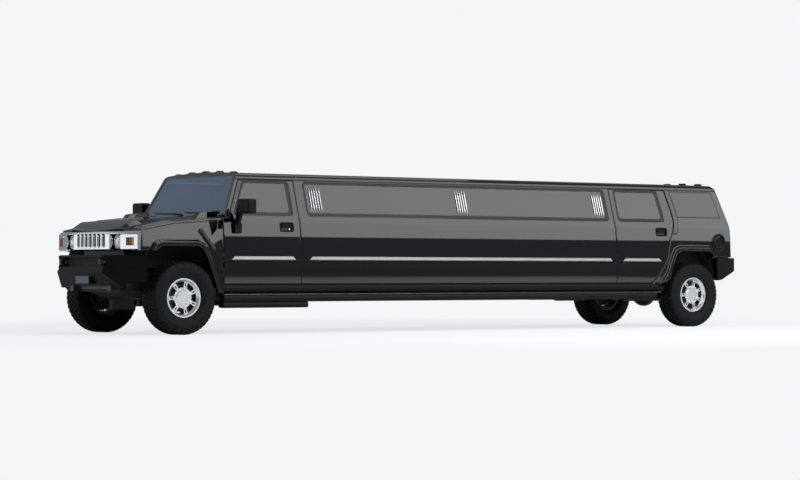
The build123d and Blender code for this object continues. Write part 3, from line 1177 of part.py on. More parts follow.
def wheel_parts():
    """Rim and tyre at each corner, by name."""
    made = {}
    pieces = {"rim": rim(), "tyre": tyre()}
    for corner, x in (("front", front(0)), ("rear", rear(0))):
        for kind, shape in pieces.items():
            left = Pos(x, TRACK_HALF, TYRE_RADIUS) * shape
            made[f"{kind}_{corner}_left"] = left
            made[f"{kind}_{corner}_right"] = other_side(left)
    return made


# Cabin and mirrors

def dashboard():
    """Dashboard with the steering column and wheel."""
    x1 = front(FIREWALL_X) - SEAT_GAP
    half = INNER_HALF - 42
    top = BELT_Z + 60
    line = [(x1, top), (x1 - 130, top - 10), (x1 - 260, top - 65), (x1 - 270, top - 245), (x1 - 190, top - 395),
            (x1, top - 415)]
    panel = along_y(polygon(line), -half, half)
    hub = Plane(origin=(x1 - 370, SEAT_Y, BELT_Z - 120), z_dir=(1, 0, -0.45))
    column = hub * Cylinder(28, 230, align=(Align.CENTER, Align.CENTER, Align.MIN))
    spokes = Box(2 * WHEEL_RADIUS, 34, 16) + Pos(0, -WHEEL_RADIUS / 2, 0) * Box(34, WHEEL_RADIUS, 16) + Cylinder(60, 30)
    return panel + column + hub * (Torus(WHEEL_RADIUS, 14) + spokes)


def seat(x, y, base_z, width, depth):
    """A seat facing forward, with its cushion and raked back, whose back ends at x."""
    cushion, back = base_z + 385, base_z + 800
    line = [(x + depth, base_z), (x + depth, cushion - 20), (x + depth - 25, cushion), (x + 150, cushion - 15),
            (x + 60, back), (x - 60, back - 15), (x, base_z)]
    return along_y(polygon(line), y - width / 2, y + width / 2)


def seats():
    """The driver's pair, the long bench along the left side and the bench across the rear."""
    back = front(DOOR_REAR_X + 60)
    floor = FLOOR_Z + SEAT_GAP
    pair = [seat(back, y, floor, SEAT_WIDTH, 560) for y in (SEAT_Y, -SEAT_Y)]
    side, top = INNER_HALF - 4, floor + 660
    section = polygon([(side, floor), (side, top), (side - 86, top + 15), (side - 146, floor + 410),
                       (side - 556, floor + 420), (side - 566, floor)])
    bench = along_x(section, rear(REAR_DOOR_FRONT_X + 200), front(PARTITION_X - 360))
    rear_bench = seat(rear(-260), 0, DECK_Z + SEAT_GAP, 2 * REAR_LINER_HALF - 80, 560)
    return group(*pair, bench, rear_bench)


def door_mirror():
    """Left door mirror: a foot on the door below the window, a looped arm and the head."""
    x0, x1 = front(DOOR_FRONT_X - 230), front(DOOR_FRONT_X - 135)
    head_low, head_high = SHOULDER_Z + 36, SHOULDER_Z + 210
    foot = box(x0, x1, BODY_HALF - 60, BODY_HALF + 26, SHOULDER_Z - 195, SHOULDER_Z - 70)
    foot = chamfer(foot.edges().filter_by(Axis.X).sort_by(Axis.Y)[-2:], 12)
    side = BODY_HALF + 14
    loop = [(side - 20, SHOULDER_Z - 110), (side + 12, SHOULDER_Z - 110), (side + 95, head_low + 30), (side + 95, head_high - 30),
            (side + 20, head_high - 30), (side - 14, head_low + 40), (side - 30, SHOULDER_Z - 50)]
    hole = [(side + 12, SHOULDER_Z - 45), (side + 62, head_low + 10), (side + 62, head_high - 58), (side + 36, head_high - 58),
            (side + 16, head_low + 30)]
    arm = along_x(polygon(loop), x0 + 28, x1 - 28) - along_x(polygon(hole), x0, x1)
    head = box(x0 - 12, x1 + 8, side + 60, side + 305, head_low, head_high)
    head = fillet(head.edges().filter_by(Axis.X), 34)
    head = fillet(head.edges().group_by(Axis.X)[-1], 16)
    return foot + arm + head - side_block(SEAT_GAP)


def build():
    """Every node of the car, by name."""
    left = {
        "door_front": door(front_door_outline(), front_window_face(), front(DOOR_REAR_X + HANDLE_FROM_EDGE)),
        "door_rear": door(rear_door_outline(), rear_window_face(), rear(REAR_DOOR_EDGE[-2][0] + HANDLE_FROM_EDGE + 60)),
        "glass_front": window_glass(front_window_face()), "glass_rear": window_glass(rear_window_face()),
        "mirror": door_mirror(), "knuckle": knuckle(),
    }
    parts = {
        "chassis_frame": chassis_frame(), "floor_pan": floor_pan(), "rockers": rockers(), "side_panels": side_panels(),
        "quarter_panels": quarter_panels(), "front_fenders": front_fenders(), "wheel_liners": wheel_liners(),
        "roof_panel": roof_panel(), "cowl": cowl(), "windscreen": windscreen(), "grille_shell": grille_shell(),
        "headlamps": headlamps(), "marker_lamps": marker_lamps(), "tail_lamps": tail_lamps(),
        "radiator_support": radiator_support(), "front_bumper": front_bumper(), "tow_loops": tow_loops(),
        "skid_plate": skid_plate(), "rear_bumper": rear_bumper(), "running_boards": running_boards(),
        "engine": engine(), "front_suspension": front_suspension(), "rear_axle": rear_axle(),
        "driveshaft": driveshaft(), "exhaust": exhaust(), "fuel_tank": fuel_tank(), "dashboard": dashboard(),
        "seats": seats(), "hood": hood(), "liftgate": liftgate(), "liftgate_glass": liftgate_glass(),
        "side_glass": both_sides(window_glass(long_window_face())), "fuel_lid": fuel_lid(),
    }
    for name, shape in left.items():
        parts[f"{name}_left"] = shape
        parts[f"{name}_right"] = other_side(shape)
    parts.update(wheel_parts())
    return parts


os.makedirs("parts", exist_ok=True)
for node, shape in build().items():
    export_step(shape, f"parts/{node}.step")
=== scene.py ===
import math

import bmesh
import bpy
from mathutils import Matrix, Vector, geometry
from mathutils.bvhtree import BVHTree


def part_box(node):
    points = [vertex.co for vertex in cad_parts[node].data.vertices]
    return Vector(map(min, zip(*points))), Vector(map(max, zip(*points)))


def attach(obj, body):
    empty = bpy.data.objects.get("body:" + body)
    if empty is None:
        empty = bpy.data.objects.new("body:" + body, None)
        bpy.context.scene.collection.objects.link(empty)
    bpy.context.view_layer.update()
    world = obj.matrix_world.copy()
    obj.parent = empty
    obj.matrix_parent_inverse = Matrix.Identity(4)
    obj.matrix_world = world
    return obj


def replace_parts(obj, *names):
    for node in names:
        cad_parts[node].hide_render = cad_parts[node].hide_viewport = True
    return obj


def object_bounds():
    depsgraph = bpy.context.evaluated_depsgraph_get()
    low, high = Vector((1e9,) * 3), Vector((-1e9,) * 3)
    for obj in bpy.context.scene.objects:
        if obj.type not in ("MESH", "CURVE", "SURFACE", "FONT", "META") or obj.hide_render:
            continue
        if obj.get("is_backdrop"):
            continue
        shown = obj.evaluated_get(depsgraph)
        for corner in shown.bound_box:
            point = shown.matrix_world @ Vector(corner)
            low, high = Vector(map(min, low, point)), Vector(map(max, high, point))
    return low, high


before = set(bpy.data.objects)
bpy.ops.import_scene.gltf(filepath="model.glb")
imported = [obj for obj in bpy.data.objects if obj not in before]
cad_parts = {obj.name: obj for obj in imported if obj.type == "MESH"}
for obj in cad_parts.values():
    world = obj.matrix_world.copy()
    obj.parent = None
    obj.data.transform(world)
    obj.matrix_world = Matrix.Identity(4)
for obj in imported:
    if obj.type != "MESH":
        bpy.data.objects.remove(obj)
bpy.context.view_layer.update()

# The stand where the car is shown: a pale floor that runs into a pale backdrop without an edge. It is lit
# from overhead, by a long soft box that leans in from the left, whose lower edge draws the line along the
# car's polished side, and by two weaker boxes ahead of the car on its right. It is seen from the left front,
# at the height of a person's waist.
CAMERA_PLACE = (20.5215, 26.91, 0.719)
CAMERA_YAW = math.radians(37.088)
CAMERA_TILT = math.radians(0.747)
CAMERA_LENS = 117.0
FLOOR_HEX = "#F4F6F8"
FLOOR_SHADE = 0.22
SHADE_REACH = (5.5, 9.5)


def linear(code):
    """sRGB hex to the linear colour that the shader sockets take."""
    parts = [int(code[i:i + 2], 16) / 255 for i in (1, 3, 5)]
    return tuple(p / 12.92 if p <= 0.04045 else ((p + 0.055) / 1.055) ** 2.4 for p in parts) + (1.0,)


def add_node(tree, kind, settings=None, links=None):
    """Node of a kind with its settings and its input links. A setting is a socket, by name or index, or a
    property, by attribute."""
    node = tree.nodes.new(kind)
    for key, value in (settings or {}).items():
        if isinstance(key, int) or key in node.inputs:
            node.inputs[key].default_value = value
        else:
            setattr(node, key, value)
    for key, source in (links or {}).items():
        tree.links.new(source, node.inputs[key])
    return node


camera_data = bpy.data.cameras.new("camera")
camera_data.lens = CAMERA_LENS
camera_data.sensor_width = 36.0
camera_data.clip_end = 200.0
camera = bpy.data.objects.new("camera", camera_data)
bpy.context.scene.collection.objects.link(camera)
camera.location = CAMERA_PLACE
looking = Vector((-math.sin(CAMERA_YAW) * math.cos(CAMERA_TILT),
                  -math.cos(CAMERA_YAW) * math.cos(CAMERA_TILT),
                  math.sin(CAMERA_TILT)))
camera.rotation_euler = looking.to_track_quat("-Z", "Y").to_euler()
bpy.context.scene.camera = camera
bpy.context.scene.view_settings.view_transform = "Standard"

floor_mesh = bpy.data.meshes.new("floor")
floor_mesh.from_pydata([(-90, -90, 0), (90, -90, 0), (90, 90, 0), (-90, 90, 0)], [], [(0, 1, 2, 3)])
floor = bpy.data.objects.new("floor", floor_mesh)
bpy.context.scene.collection.objects.link(floor)
floor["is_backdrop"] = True
floor_paint = bpy.data.materials.new("floor_paint")
floor_paint.use_nodes = True
tree = floor_paint.node_tree
tree.nodes.clear()
matt = add_node(tree, "ShaderNodeBsdfDiffuse", {"Color": linear(FLOOR_HEX)})
glow = add_node(tree, "ShaderNodeEmission", {"Color": linear(FLOOR_HEX), "Strength": 1.0})
rays = add_node(tree, "ShaderNodeLightPath")
place = add_node(tree, "ShaderNodeTexCoord").outputs["Object"]
away = add_node(tree, "ShaderNodeVectorMath", {"operation": "LENGTH"}, {0: place})
clear = add_node(tree, "ShaderNodeMapRange", {"From Min": SHADE_REACH[0], "From Max": SHADE_REACH[1],
                                              "To Min": 1 - FLOOR_SHADE, "To Max": 1.0},
                 {"Value": away.outputs["Value"]})
seen = add_node(tree, "ShaderNodeMath", {"operation": "MULTIPLY"}, {0: rays.outputs["Is Camera Ray"],
                                                                   1: clear.outputs[0]})
mixed = add_node(tree, "ShaderNodeMixShader", {}, {0: seen.outputs[0], 1: matt.outputs[0],
                                                   2: glow.outputs[0]})
add_node(tree, "ShaderNodeOutputMaterial", {}, {"Surface": mixed.outputs[0]})
floor_mesh.materials.append(floor_paint)

world = bpy.data.worlds.new("studio")
bpy.context.scene.world = world
world.use_nodes = True
tree = world.node_tree
tree.nodes.clear()
rays = add_node(tree, "ShaderNodeLightPath")
room = add_node(tree, "ShaderNodeBackground", {"Color": linear("#DDE3EA"), "Strength": 0.4})
back = add_node(tree, "ShaderNodeBackground", {"Color": linear(FLOOR_HEX), "Strength": 1.0})
shown = add_node(tree, "ShaderNodeMath", {"operation": "MAXIMUM"},
                 {0: rays.outputs["Is Camera Ray"], 1: rays.outputs["Is Transmission Ray"]})
mixed = add_node(tree, "ShaderNodeMixShader", {}, {0: shown.outputs[0], 1: room.outputs[0],
                                                   2: back.outputs[0]})
add_node(tree, "ShaderNodeOutputWorld", {}, {"Surface": mixed.outputs[0]})

# Name, place, point it faces, width and height in metres, power in watts.
LAMPS = (("lamp_over", (0, 0, 9), (0, 0, 1), (12, 4), 260),
         ("lamp_side", (-4.9, 10, 6.35), (-4.9, 3.1, 1.35), (22.7, 8.5), 2000),
         ("lamp_front", (10.6, -8, 2.2), (4.5, 0, 1.1), (9, 4), 105),
         ("lamp_far", (9, -13, 8.5), (3, 0, 1.6), (9, 5), 70))
for name, place, aim, size, power in LAMPS:
    lamp_data = bpy.data.lights.new(name, "AREA")
    lamp_data.shape = "RECTANGLE"
    lamp_data.size, lamp_data.size_y = size
    lamp_data.energy = power
    lamp = bpy.data.objects.new(name, lamp_data)
    bpy.context.scene.collection.objects.link(lamp)
    lamp.location = place
    lamp.rotation_euler = (Vector(aim) - Vector(place)).to_track_quat("-Z", "Y").to_euler()

# Ladder frame and the plates and panels that bolt to it: pressed and welded steel, dipped in black chassis
# paint. The paint dries satin, runs a little unevenly over the welds, and takes a thin layer of road dust
# in patches.
def finish_of(name, settings, bump=None, mottle=None):
    """Principled material of a real finish. bump is (grain mm, depth mm); mottle is (patch mm, second hex,
    share)."""
    material = bpy.data.materials.new(name)
    material.use_nodes = True
    tree = material.node_tree
    shader = tree.nodes["Principled BSDF"]
    for key, value in settings.items():
        shader.inputs[key].default_value = linear(value) if isinstance(value, str) else value
    place = add_node(tree, "ShaderNodeTexCoord").outputs["Object"]
    if mottle:
        patch, second, share = mottle
        cloud = add_node(tree, "ShaderNodeTexNoise",
                         {"Scale": 1000 / patch, "Detail": 6.0, "Roughness": 0.62},
                         {"Vector": place})
        spread = add_node(tree, "ShaderNodeMapRange", {"From Min": 0.35, "From Max": 0.75, "To Max": share},
                          {"Value": cloud.outputs["Fac"]})
        colours = add_node(tree, "ShaderNodeMix", {"data_type": "RGBA",
                                                   6: shader.inputs["Base Color"].default_value[:],
                                                   7: linear(second)}, {0: spread.outputs[0]})
        tree.links.new(colours.outputs[2], shader.inputs["Base Color"])
        rough = shader.inputs["Roughness"].default_value
        dull = add_node(tree, "ShaderNodeMapRange",
                        {"To Min": rough * 0.85, "To Max": min(1.0, rough * 1.25)},
                        {"Value": cloud.outputs["Fac"]})
        tree.links.new(dull.outputs[0], shader.inputs["Roughness"])
    if bump:
        grain, depth = bump
        pits = add_node(tree, "ShaderNodeTexNoise", {"Scale": 1000 / grain, "Detail": 3.0}, {"Vector": place})
        raised = add_node(tree, "ShaderNodeBump", {"Strength": 0.5, "Distance": depth / 1000},
                          {"Height": pits.outputs["Fac"]})
        tree.links.new(raised.outputs[0], shader.inputs["Normal"])
    return material


def dress(material, *names):
    """Gives CAD nodes their finish, in every slot they have."""
    for name in names:
        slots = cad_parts[name].data.materials
        for i in range(len(slots)):
            slots[i] = material
        if not slots:
            slots.append(material)


# Black chassis paint: a thick satin coat over steel, so its edges read soft and its sheen is broken by brush
# and dip marks.
chassis_paint = finish_of("chassis_paint_dipped", {"Base Color": "#17181A", "Roughness": 0.42, "IOR": 1.5},
                          bump=(9, 0.5), mottle=(160, "#2B2A28", 0.5))
dress(chassis_paint, "chassis_frame", "floor_pan", "front_suspension", "rear_axle", "fuel_tank",
      "radiator_support", "skid_plate")

# Engine block and gearbox, cast in grey iron; the steering knuckles are cast in the same iron, left raw.
# Sand from the mould leaves a coarse dull skin with a little rust bloom.
cast_iron = finish_of("grey_iron_as_cast", {"Base Color": "#3C3B3A", "Roughness": 0.62, "Metallic": 0.7},
                      bump=(4, 0.6), mottle=(60, "#4A3A30", 0.4))
dress(cast_iron, "engine", "knuckle_left", "knuckle_right")

# Propeller shaft and exhaust: drawn and welded steel tube, bare, gone dull and slightly straw-coloured from
# heat.
tube_steel = finish_of("welded_steel_tube", {"Base Color": "#6E6A64", "Roughness": 0.38, "Metallic": 0.9},
                       bump=(3, 0.15), mottle=(220, "#4C4138", 0.6))
dress(tube_steel, "driveshaft", "exhaust")

# Body panels: pressed steel and moulded composite sheets, primed, sprayed black and covered with clear
# lacquer. The lacquer gives a deep mirror, with the faint waviness that sprayed paint keeps when it dries.
# Every crease in the panels is rounded by the press, and carries the reflections round in a band.
PAINT_WAVE_MM = 14
PRESS_RADIUS = 0.022
lacquer = bpy.data.materials.new("black_lacquered_steel")
lacquer.use_nodes = True
tree = lacquer.node_tree
shader = tree.nodes["Principled BSDF"]
for key, value in {"Base Color": linear("#050507"), "Roughness": 0.6, "Specular IOR Level": 0.0,
                   "Coat Weight": 1.0, "Coat Roughness": 0.015, "Coat IOR": 1.5}.items():
    shader.inputs[key].default_value = value
place = add_node(tree, "ShaderNodeTexCoord").outputs["Object"]
wave = add_node(tree, "ShaderNodeTexNoise", {"Scale": 1000 / PAINT_WAVE_MM, "Detail": 1.0}, {"Vector": place})
pressed = add_node(tree, "ShaderNodeBevel", {"samples": 6, "Radius": PRESS_RADIUS})
raised = add_node(tree, "ShaderNodeBump", {"Strength": 0.12, "Distance": 0.00004},
                  {"Height": wave.outputs["Fac"], "Normal": pressed.outputs[0]})
tree.links.new(raised.outputs[0], shader.inputs["Coat Normal"])
dress(lacquer, "side_panels", "quarter_panels", "front_fenders", "roof_panel", "cowl", "hood", "liftgate",
      "fuel_lid", "door_front_left", "door_front_right", "door_rear_left", "door_rear_right")

# Bumpers, sills, wheel-house liners and mirror shells: black polypropylene, injection moulded in a grained
# tool, clipped to the body. The grain scatters the light, so it looks charcoal beside the paint.
moulded = finish_of("grained_black_polypropylene", {"Base Color": "#080809", "Roughness": 0.45,
                                                    "Specular IOR Level": 0.1},
                    bump=(2.5, 0.25), mottle=(300, "#121214", 0.6))
dress(moulded, "front_bumper", "rear_bumper", "rockers", "mirror_left", "mirror_right")
liner_felt = finish_of("pressed_liner_sheet", {"Base Color": "#0C0C0D", "Roughness": 0.85}, bump=(5, 0.8))
dress(liner_felt, "wheel_liners")

# Side, rear and door glass: toughened panes with a dark tinted layer inside, bonded in from outside; the
# windscreen is laminated and tinted blue, and part of its light is scattered as a diffuse blue, which is
# painted reflection standing for the blue sheen of a reflected sky. Float glass has no texture, only a slow
# ripple from the tempering rollers.
def pane_of(name, tint, ripple_mm, painted_reflection_share=0.0, gloss=0.5):
    """Tempered or laminated pane; its painted-reflection share is the part of its light that the tint
    scatters diffusely, standing in for a reflection.
    """
    material = bpy.data.materials.new(name)
    material.use_nodes = True
    tree = material.node_tree
    shader = tree.nodes["Principled BSDF"]
    for key, value in {"Base Color": linear(tint), "Roughness": 0.0, "IOR": 1.52,
                       "Transmission Weight": 1.0 - painted_reflection_share, "Specular IOR Level": gloss}.items():
        shader.inputs[key].default_value = value
    place = add_node(tree, "ShaderNodeTexCoord").outputs["Object"]
    roll = add_node(tree, "ShaderNodeTexNoise", {"Scale": 1000 / ripple_mm, "Detail": 0.0}, {"Vector": place})
    raised = add_node(tree, "ShaderNodeBump", {"Strength": 0.1, "Distance": 0.0003},
                      {"Height": roll.outputs["Fac"]})
    tree.links.new(raised.outputs[0], shader.inputs["Normal"])
    return material


dark_glass = pane_of("dark_filmed_glass", "#23282F", 180)
# The windscreen's 0.14 share of diffuse blue is painted reflection.
screen_glass = pane_of("laminated_screen_glass", "#2C70A4", 240, painted_reflection_share=0.14, gloss=0.25)
dress(dark_glass, "side_glass", "liftgate_glass", "glass_rear_left", "glass_rear_right", "glass_front_left",
      "glass_front_right")
dress(screen_glass, "windscreen")

# Rubber seals round the side windows: extruded black EPDM strip pushed into the rebate round each pane.
# Its lip stands a little proud of the glass and stays a soft matt black.
SHOULDER_Z, CANT_Z = 1.400, 1.862
SILL_Z, WIDEST_Z, BELT_Z = 0.470, 0.880, 1.335
SILL_Y, WIDEST_Y, BELT_Y, SHOULDER_Y, CANT_Y = 0.988, 1.000, 0.975, 0.950, 0.812
GLASS_DEPTH = 0.007
rubber = finish_of("extruded_seal_rubber", {"Base Color": "#0B0B0C", "Roughness": 0.6}, bump=(3, 0.2))


def side_y(z):
    """Half width of the body side's outer face at a height."""
    if z >= SHOULDER_Z:
        return SHOULDER_Y + (CANT_Y - SHOULDER_Y) * (z - SHOULDER_Z) / (CANT_Z - SHOULDER_Z)
    if z >= BELT_Z:
        return BELT_Y + (SHOULDER_Y - BELT_Y) * (z - BELT_Z) / (SHOULDER_Z - BELT_Z)
    (z0, y0), (z1, y1), (z2, y2) = (SILL_Z, SILL_Y), (WIDEST_Z, WIDEST_Y), (BELT_Z, BELT_Y)
    return (y0 * (z - z1) * (z - z2) / ((z0 - z1) * (z0 - z2))
            + y1 * (z - z0) * (z - z2) / ((z1 - z0) * (z1 - z2))
            + y2 * (z - z0) * (z - z1) / ((z2 - z0) * (z2 - z1)))


def new_piece(name, points, faces, material, body, smooth=False):
    """Mesh object that rides on a body, with its outward normals worked out."""
    mesh = bpy.data.meshes.new(name)
    mesh.from_pydata([tuple(p) for p in points], [], faces)
    work = bmesh.new()
    work.from_mesh(mesh)
    bmesh.ops.recalc_face_normals(work, faces=work.faces)
    work.to_mesh(mesh)
    work.free()
    if smooth:
        mesh.shade_smooth()
    mesh.materials.append(material)
    piece = bpy.data.objects.new(name, mesh)
    bpy.context.scene.collection.objects.link(piece)
    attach(piece, body)
    return piece


def loops_to_faces(loops, size, closed=True):
    """Quads between consecutive loops of size points; closed joins the last loop to the first."""
    faces = []
    for i in range(loops if closed else loops - 1):
        j = (i + 1) % loops
        for k in range(size):
            m = (k + 1) % size
            faces.append((i * size + k, i * size + m, j * size + m, j * size + k))
    return faces


def window_corners(node, lean_front=0.0, lean_rear=0.0):
    """Corners (x, z) of a side window, low front first, from its pane; the leans are how far the top is set
    back."""
    low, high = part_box(node)
    return [(high.x, low.z), (low.x, low.z), (low.x + lean_rear, high.z), (high.x - lean_front, high.z)]


def window_ring(corners, inset, radius=0.03, steps=5):
    """Closed line (x, z) round a window, inset from its pane's edge, with round corners."""
    count = len(corners)
    middle = sum((Vector(c) for c in corners), Vector((0, 0))) / count
    edges = []
    for i in range(count):
        here, after = Vector(corners[i]), Vector(corners[(i + 1) % count])
        along = (after - here).normalized()
        inward = Vector((-along.y, along.x))
        inward *= inset if inward.dot(middle - here) > 0 else -inset
        edges.append((here + inward - along, after + inward + along))
    line = []
    for i in range(count):
        corner = Vector(geometry.intersect_line_line_2d(*edges[i - 1], *edges[i]))
        back = (edges[i - 1][0] - edges[i - 1][1]).normalized()
        ahead = (edges[i][1] - edges[i][0]).normalized()
        for k in range(steps):
            t = k / (steps - 1)
            line.append(tuple(corner + back * radius * (1 - t) ** 2 + ahead * radius * t ** 2))
    return line


def side_strip(name, line, section, side, material, body, closed=True):
    """Strip swept along a line (x, z) on the body side. Its section is (across, out): on a window_ring a
    positive across points into the ring, and out is measured from the body's outer face."""
    loops = []
    count = len(line)
    for i, (x, z) in enumerate(line):
        before = line[i - 1 if closed or i else i]
        after = line[(i + 1) % count if closed or i < count - 1 else i]
        along = Vector((after[0] - before[0], after[1] - before[1])).normalized()
        across = Vector((along.y, -along.x))
        for w, out in section:
            px, pz = x + across.x * w, z + across.y * w
            loops.append((px, side * (side_y(pz) + out), pz))
    faces = loops_to_faces(count, len(section), closed)
    if not closed:
        faces += [tuple(range(len(section))), tuple(reversed(range((count - 1) * len(section),
                                                                   count * len(section))))]
    return new_piece(name, loops, faces, material, body)


WINDOWS = (("seal_front", "glass_front", (0.2, 0.0)), ("seal_rear", "glass_rear", (0.0, 0.044)))
SEAL_SECTION = [(-0.011, -GLASS_DEPTH), (0.009, -GLASS_DEPTH), (0.009, -0.004), (0.004, -0.001),
                (-0.007, -0.001), (-0.011, -0.004)]
lean = 0.226 / (CANT_Z - SHOULDER_Z)
for side, sign in (("left", 1), ("right", -1)):
    for name, node, leans in WINDOWS:
        low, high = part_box(f"{node}_{side}")
        lean_front = lean * (high.z - low.z) if name == "seal_front" else 0.0
        corners = window_corners(f"{node}_{side}", lean_front, leans[1])
        body = f"door_{name[5:]}_{side}"
        side_strip(f"{name}_{side}", window_ring(corners, 0.011), SEAL_SECTION, sign, rubber,
                   body)
    corners = window_corners("side_glass")
    side_strip(f"seal_long_{side}", window_ring(corners, 0.011), SEAL_SECTION, sign, rubber, "body")

# Side mouldings: flat satin aluminium strips with slanted ends, stuck along the doors and the long side
# with tape so that parked cars' doors strike them and not the paint.
MOULDING_Z = (0.888, 0.930)
MOULDING_OUT = 0.011
MOULDING_SLANT = 0.045
strip_metal = finish_of("anodised_aluminium_strip",
                        {"Base Color": "#A9A8A4", "Roughness": 0.34, "Metallic": 0.85},
                        bump=(1.6, 0.05), mottle=(400, "#8E8D8A", 0.5))


def moulding(name, x0, x1, side, body):
    low, high = MOULDING_Z
    points, rows = [], ((low, -0.002), (low, 0.006), (low + 0.006, MOULDING_OUT),
                        (high - 0.006, MOULDING_OUT), (high, 0.006), (high, -0.002))
    for x, slant in ((x0, MOULDING_SLANT), (x1, -MOULDING_SLANT)):
        for z, out in rows:
            points.append((x + slant * (z - low) / (high - low), side * (side_y(z) + out), z))
    faces = loops_to_faces(2, 6, closed=False) + [tuple(range(6)), tuple(range(11, 5, -1))]
    return new_piece(name, points, faces, strip_metal, body)


for side, sign in (("left", 1), ("right", -1)):
    low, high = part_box(f"door_front_{side}")
    moulding(f"moulding_front_{side}", low.x + 0.075, high.x - 0.1, sign, f"door_front_{side}")
    low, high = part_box("side_panels")
    moulding(f"moulding_long_{side}", low.x + 0.09, high.x - 0.119, sign, "body")
    low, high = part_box(f"door_rear_{side}")
    moulding(f"moulding_rear_{side}", low.x + 0.28, high.x - 0.1, sign, f"door_rear_{side}")

# Louvre bars on the long windows: three sets of five chromed bars, each set on two thin black cross rails
# that are taped to the glass. The bars are half-round, their ends are rounded off, and their plate is satin.
BARS = 5
BAR_PITCH, BAR_WIDTH, BAR_OUT = 0.037, 0.013, 0.010
BAR_Z = (1.492, 1.772)
chrome = finish_of("polished_chrome_plate", {"Base Color": "#D4D6D8", "Roughness": 0.07, "Metallic": 1.0},
                   mottle=(90, "#C6C8CB", 0.4))
bar_metal = finish_of("satin_chrome_plate", {"Base Color": "#E2E3E5", "Roughness": 0.34, "Metallic": 1.0},
                      mottle=(90, "#D6D8DA", 0.4))
low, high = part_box("side_glass")
SET_PLACES = (high.x - 0.155, (high.x + low.x) / 2 + 0.02, low.x + 0.155)
for side, sign in (("left", 1), ("right", -1)):
    points, faces, rail_points, rail_faces = [], [], [], []
    for middle in SET_PLACES:
        for i in range(BARS):
            x = middle + (i - (BARS - 1) / 2) * BAR_PITCH
            rows = 9
            for k in range(rows):
                share = k / (rows - 1)
                z = BAR_Z[0] + (BAR_Z[1] - BAR_Z[0]) * share
                thin = 0.35 if k in (0, rows - 1) else 1.0
                for a in range(8):
                    angle = math.pi * a / 7
                    out = -GLASS_DEPTH + 0.004 + BAR_OUT * thin * math.sin(angle)
                    points.append((x + BAR_WIDTH / 2 * thin * math.cos(angle), sign * (side_y(z) + out), z))
            start = len(points) - rows * 8
            faces += [tuple(v + start for v in f) for f in loops_to_faces(rows, 8, closed=False)]
            faces += [tuple(range(start, start + 8)), tuple(range(len(points) - 1, len(points) - 9, -1))]
        for z in (BAR_Z[0] + 0.03, BAR_Z[1] - 0.03):
            half = (BARS - 1) / 2 * BAR_PITCH
            start = len(rail_points)
            for x in (middle - half, middle + half):
                for dz, out in ((-0.003, -GLASS_DEPTH), (0.003, -GLASS_DEPTH), (0.003, -0.003),
                                (-0.003, -0.003)):
                    rail_points.append((x, sign * (side_y(z + dz) + out), z + dz))
            rail_faces += [tuple(v + start for v in f) for f in loops_to_faces(2, 4, closed=False)]
            rail_faces += [tuple(range(start, start + 4)), tuple(range(start + 7, start + 3, -1))]
    new_piece(f"louvre_bars_{side}", points, faces, bar_metal, "body", smooth=False)
    new_piece(f"louvre_rails_{side}", rail_points, rail_faces, rubber, "body")

# Grille: one chromed moulding with seven slots. The chrome is plated on moulded plastic, so its curves are
# soft and it mirrors everything around it.
dress(chrome, "grille_shell")

# Black insert behind the slots: a moulded louvre panel, its blades tilted to throw water down,
# screwed to the back of the grille.
low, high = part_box("grille_shell")
support_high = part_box("radiator_support")[1]
INSERT_X = support_high.x + 0.045
BLADE_PITCH = 0.0225
points, faces = [], []
for i in range(7):
    z = 1.045 + i * BLADE_PITCH
    start = len(points)
    for y in (-0.345, 0.345):
        for dx, dz in ((0.0, 0.0), (0.032, -0.012), (0.032, -0.0085), (0.0, 0.0035)):
            points.append((INSERT_X + dx, y, z + dz))
    faces += [tuple(v + start for v in f) for f in loops_to_faces(2, 4, closed=False)]
    faces += [tuple(range(start, start + 4)), tuple(range(start + 7, start + 3, -1))]
for i in range(8):
    y = (i - 3.5) * 0.097
    start = len(points)
    for z in (1.03, 1.195):
        for dx, dy in ((-0.004, -0.004), (0.026, -0.004), (0.026, 0.004), (-0.004, 0.004)):
            points.append((INSERT_X + dx, y + dy, z))
    faces += [tuple(v + start for v in f) for f in loops_to_faces(2, 4, closed=False)]
    faces += [tuple(range(start, start + 4)), tuple(range(start + 7, start + 3, -1))]
new_piece("grille_insert", points, faces, moulded, "body")

# Headlamps: a black square bezel with a round lamp in it. Each lamp is a bright vacuum-coated bowl with a
# capsule bulb, closed by a clear polycarbonate lens that bulges forward and carries shallow upright flutes,
# 24 mm from crest to crest.
LAMP_RING = 48
LAMP_Z = 1.100
bowl_metal = finish_of("vacuum_coated_reflector", {"Base Color": "#E6E8EA", "Roughness": 0.09,
                                                   "Metallic": 1.0},
                       mottle=(30, "#D9DCDF", 0.5))
lens = bpy.data.materials.new("clear_polycarbonate_lens")
lens.use_nodes = True
tree = lens.node_tree
shader = tree.nodes["Principled BSDF"]
for key, value in {"Base Color": linear("#F4F8FA"), "Roughness": 0.02, "IOR": 1.58,
                   "Transmission Weight": 1.0}.items():
    shader.inputs[key].default_value = value
place = add_node(tree, "ShaderNodeTexCoord").outputs["Object"]
flutes = add_node(tree, "ShaderNodeTexWave", {"wave_type": "BANDS", "bands_direction": "Y",
                                              "Scale": 1000 / 12 / 6.28},
                  {"Vector": place})
raised = add_node(tree, "ShaderNodeBump", {"Strength": 0.3, "Distance": 0.0008},
                  {"Height": flutes.outputs["Fac"]})
tree.links.new(raised.outputs[0], shader.inputs["Normal"])


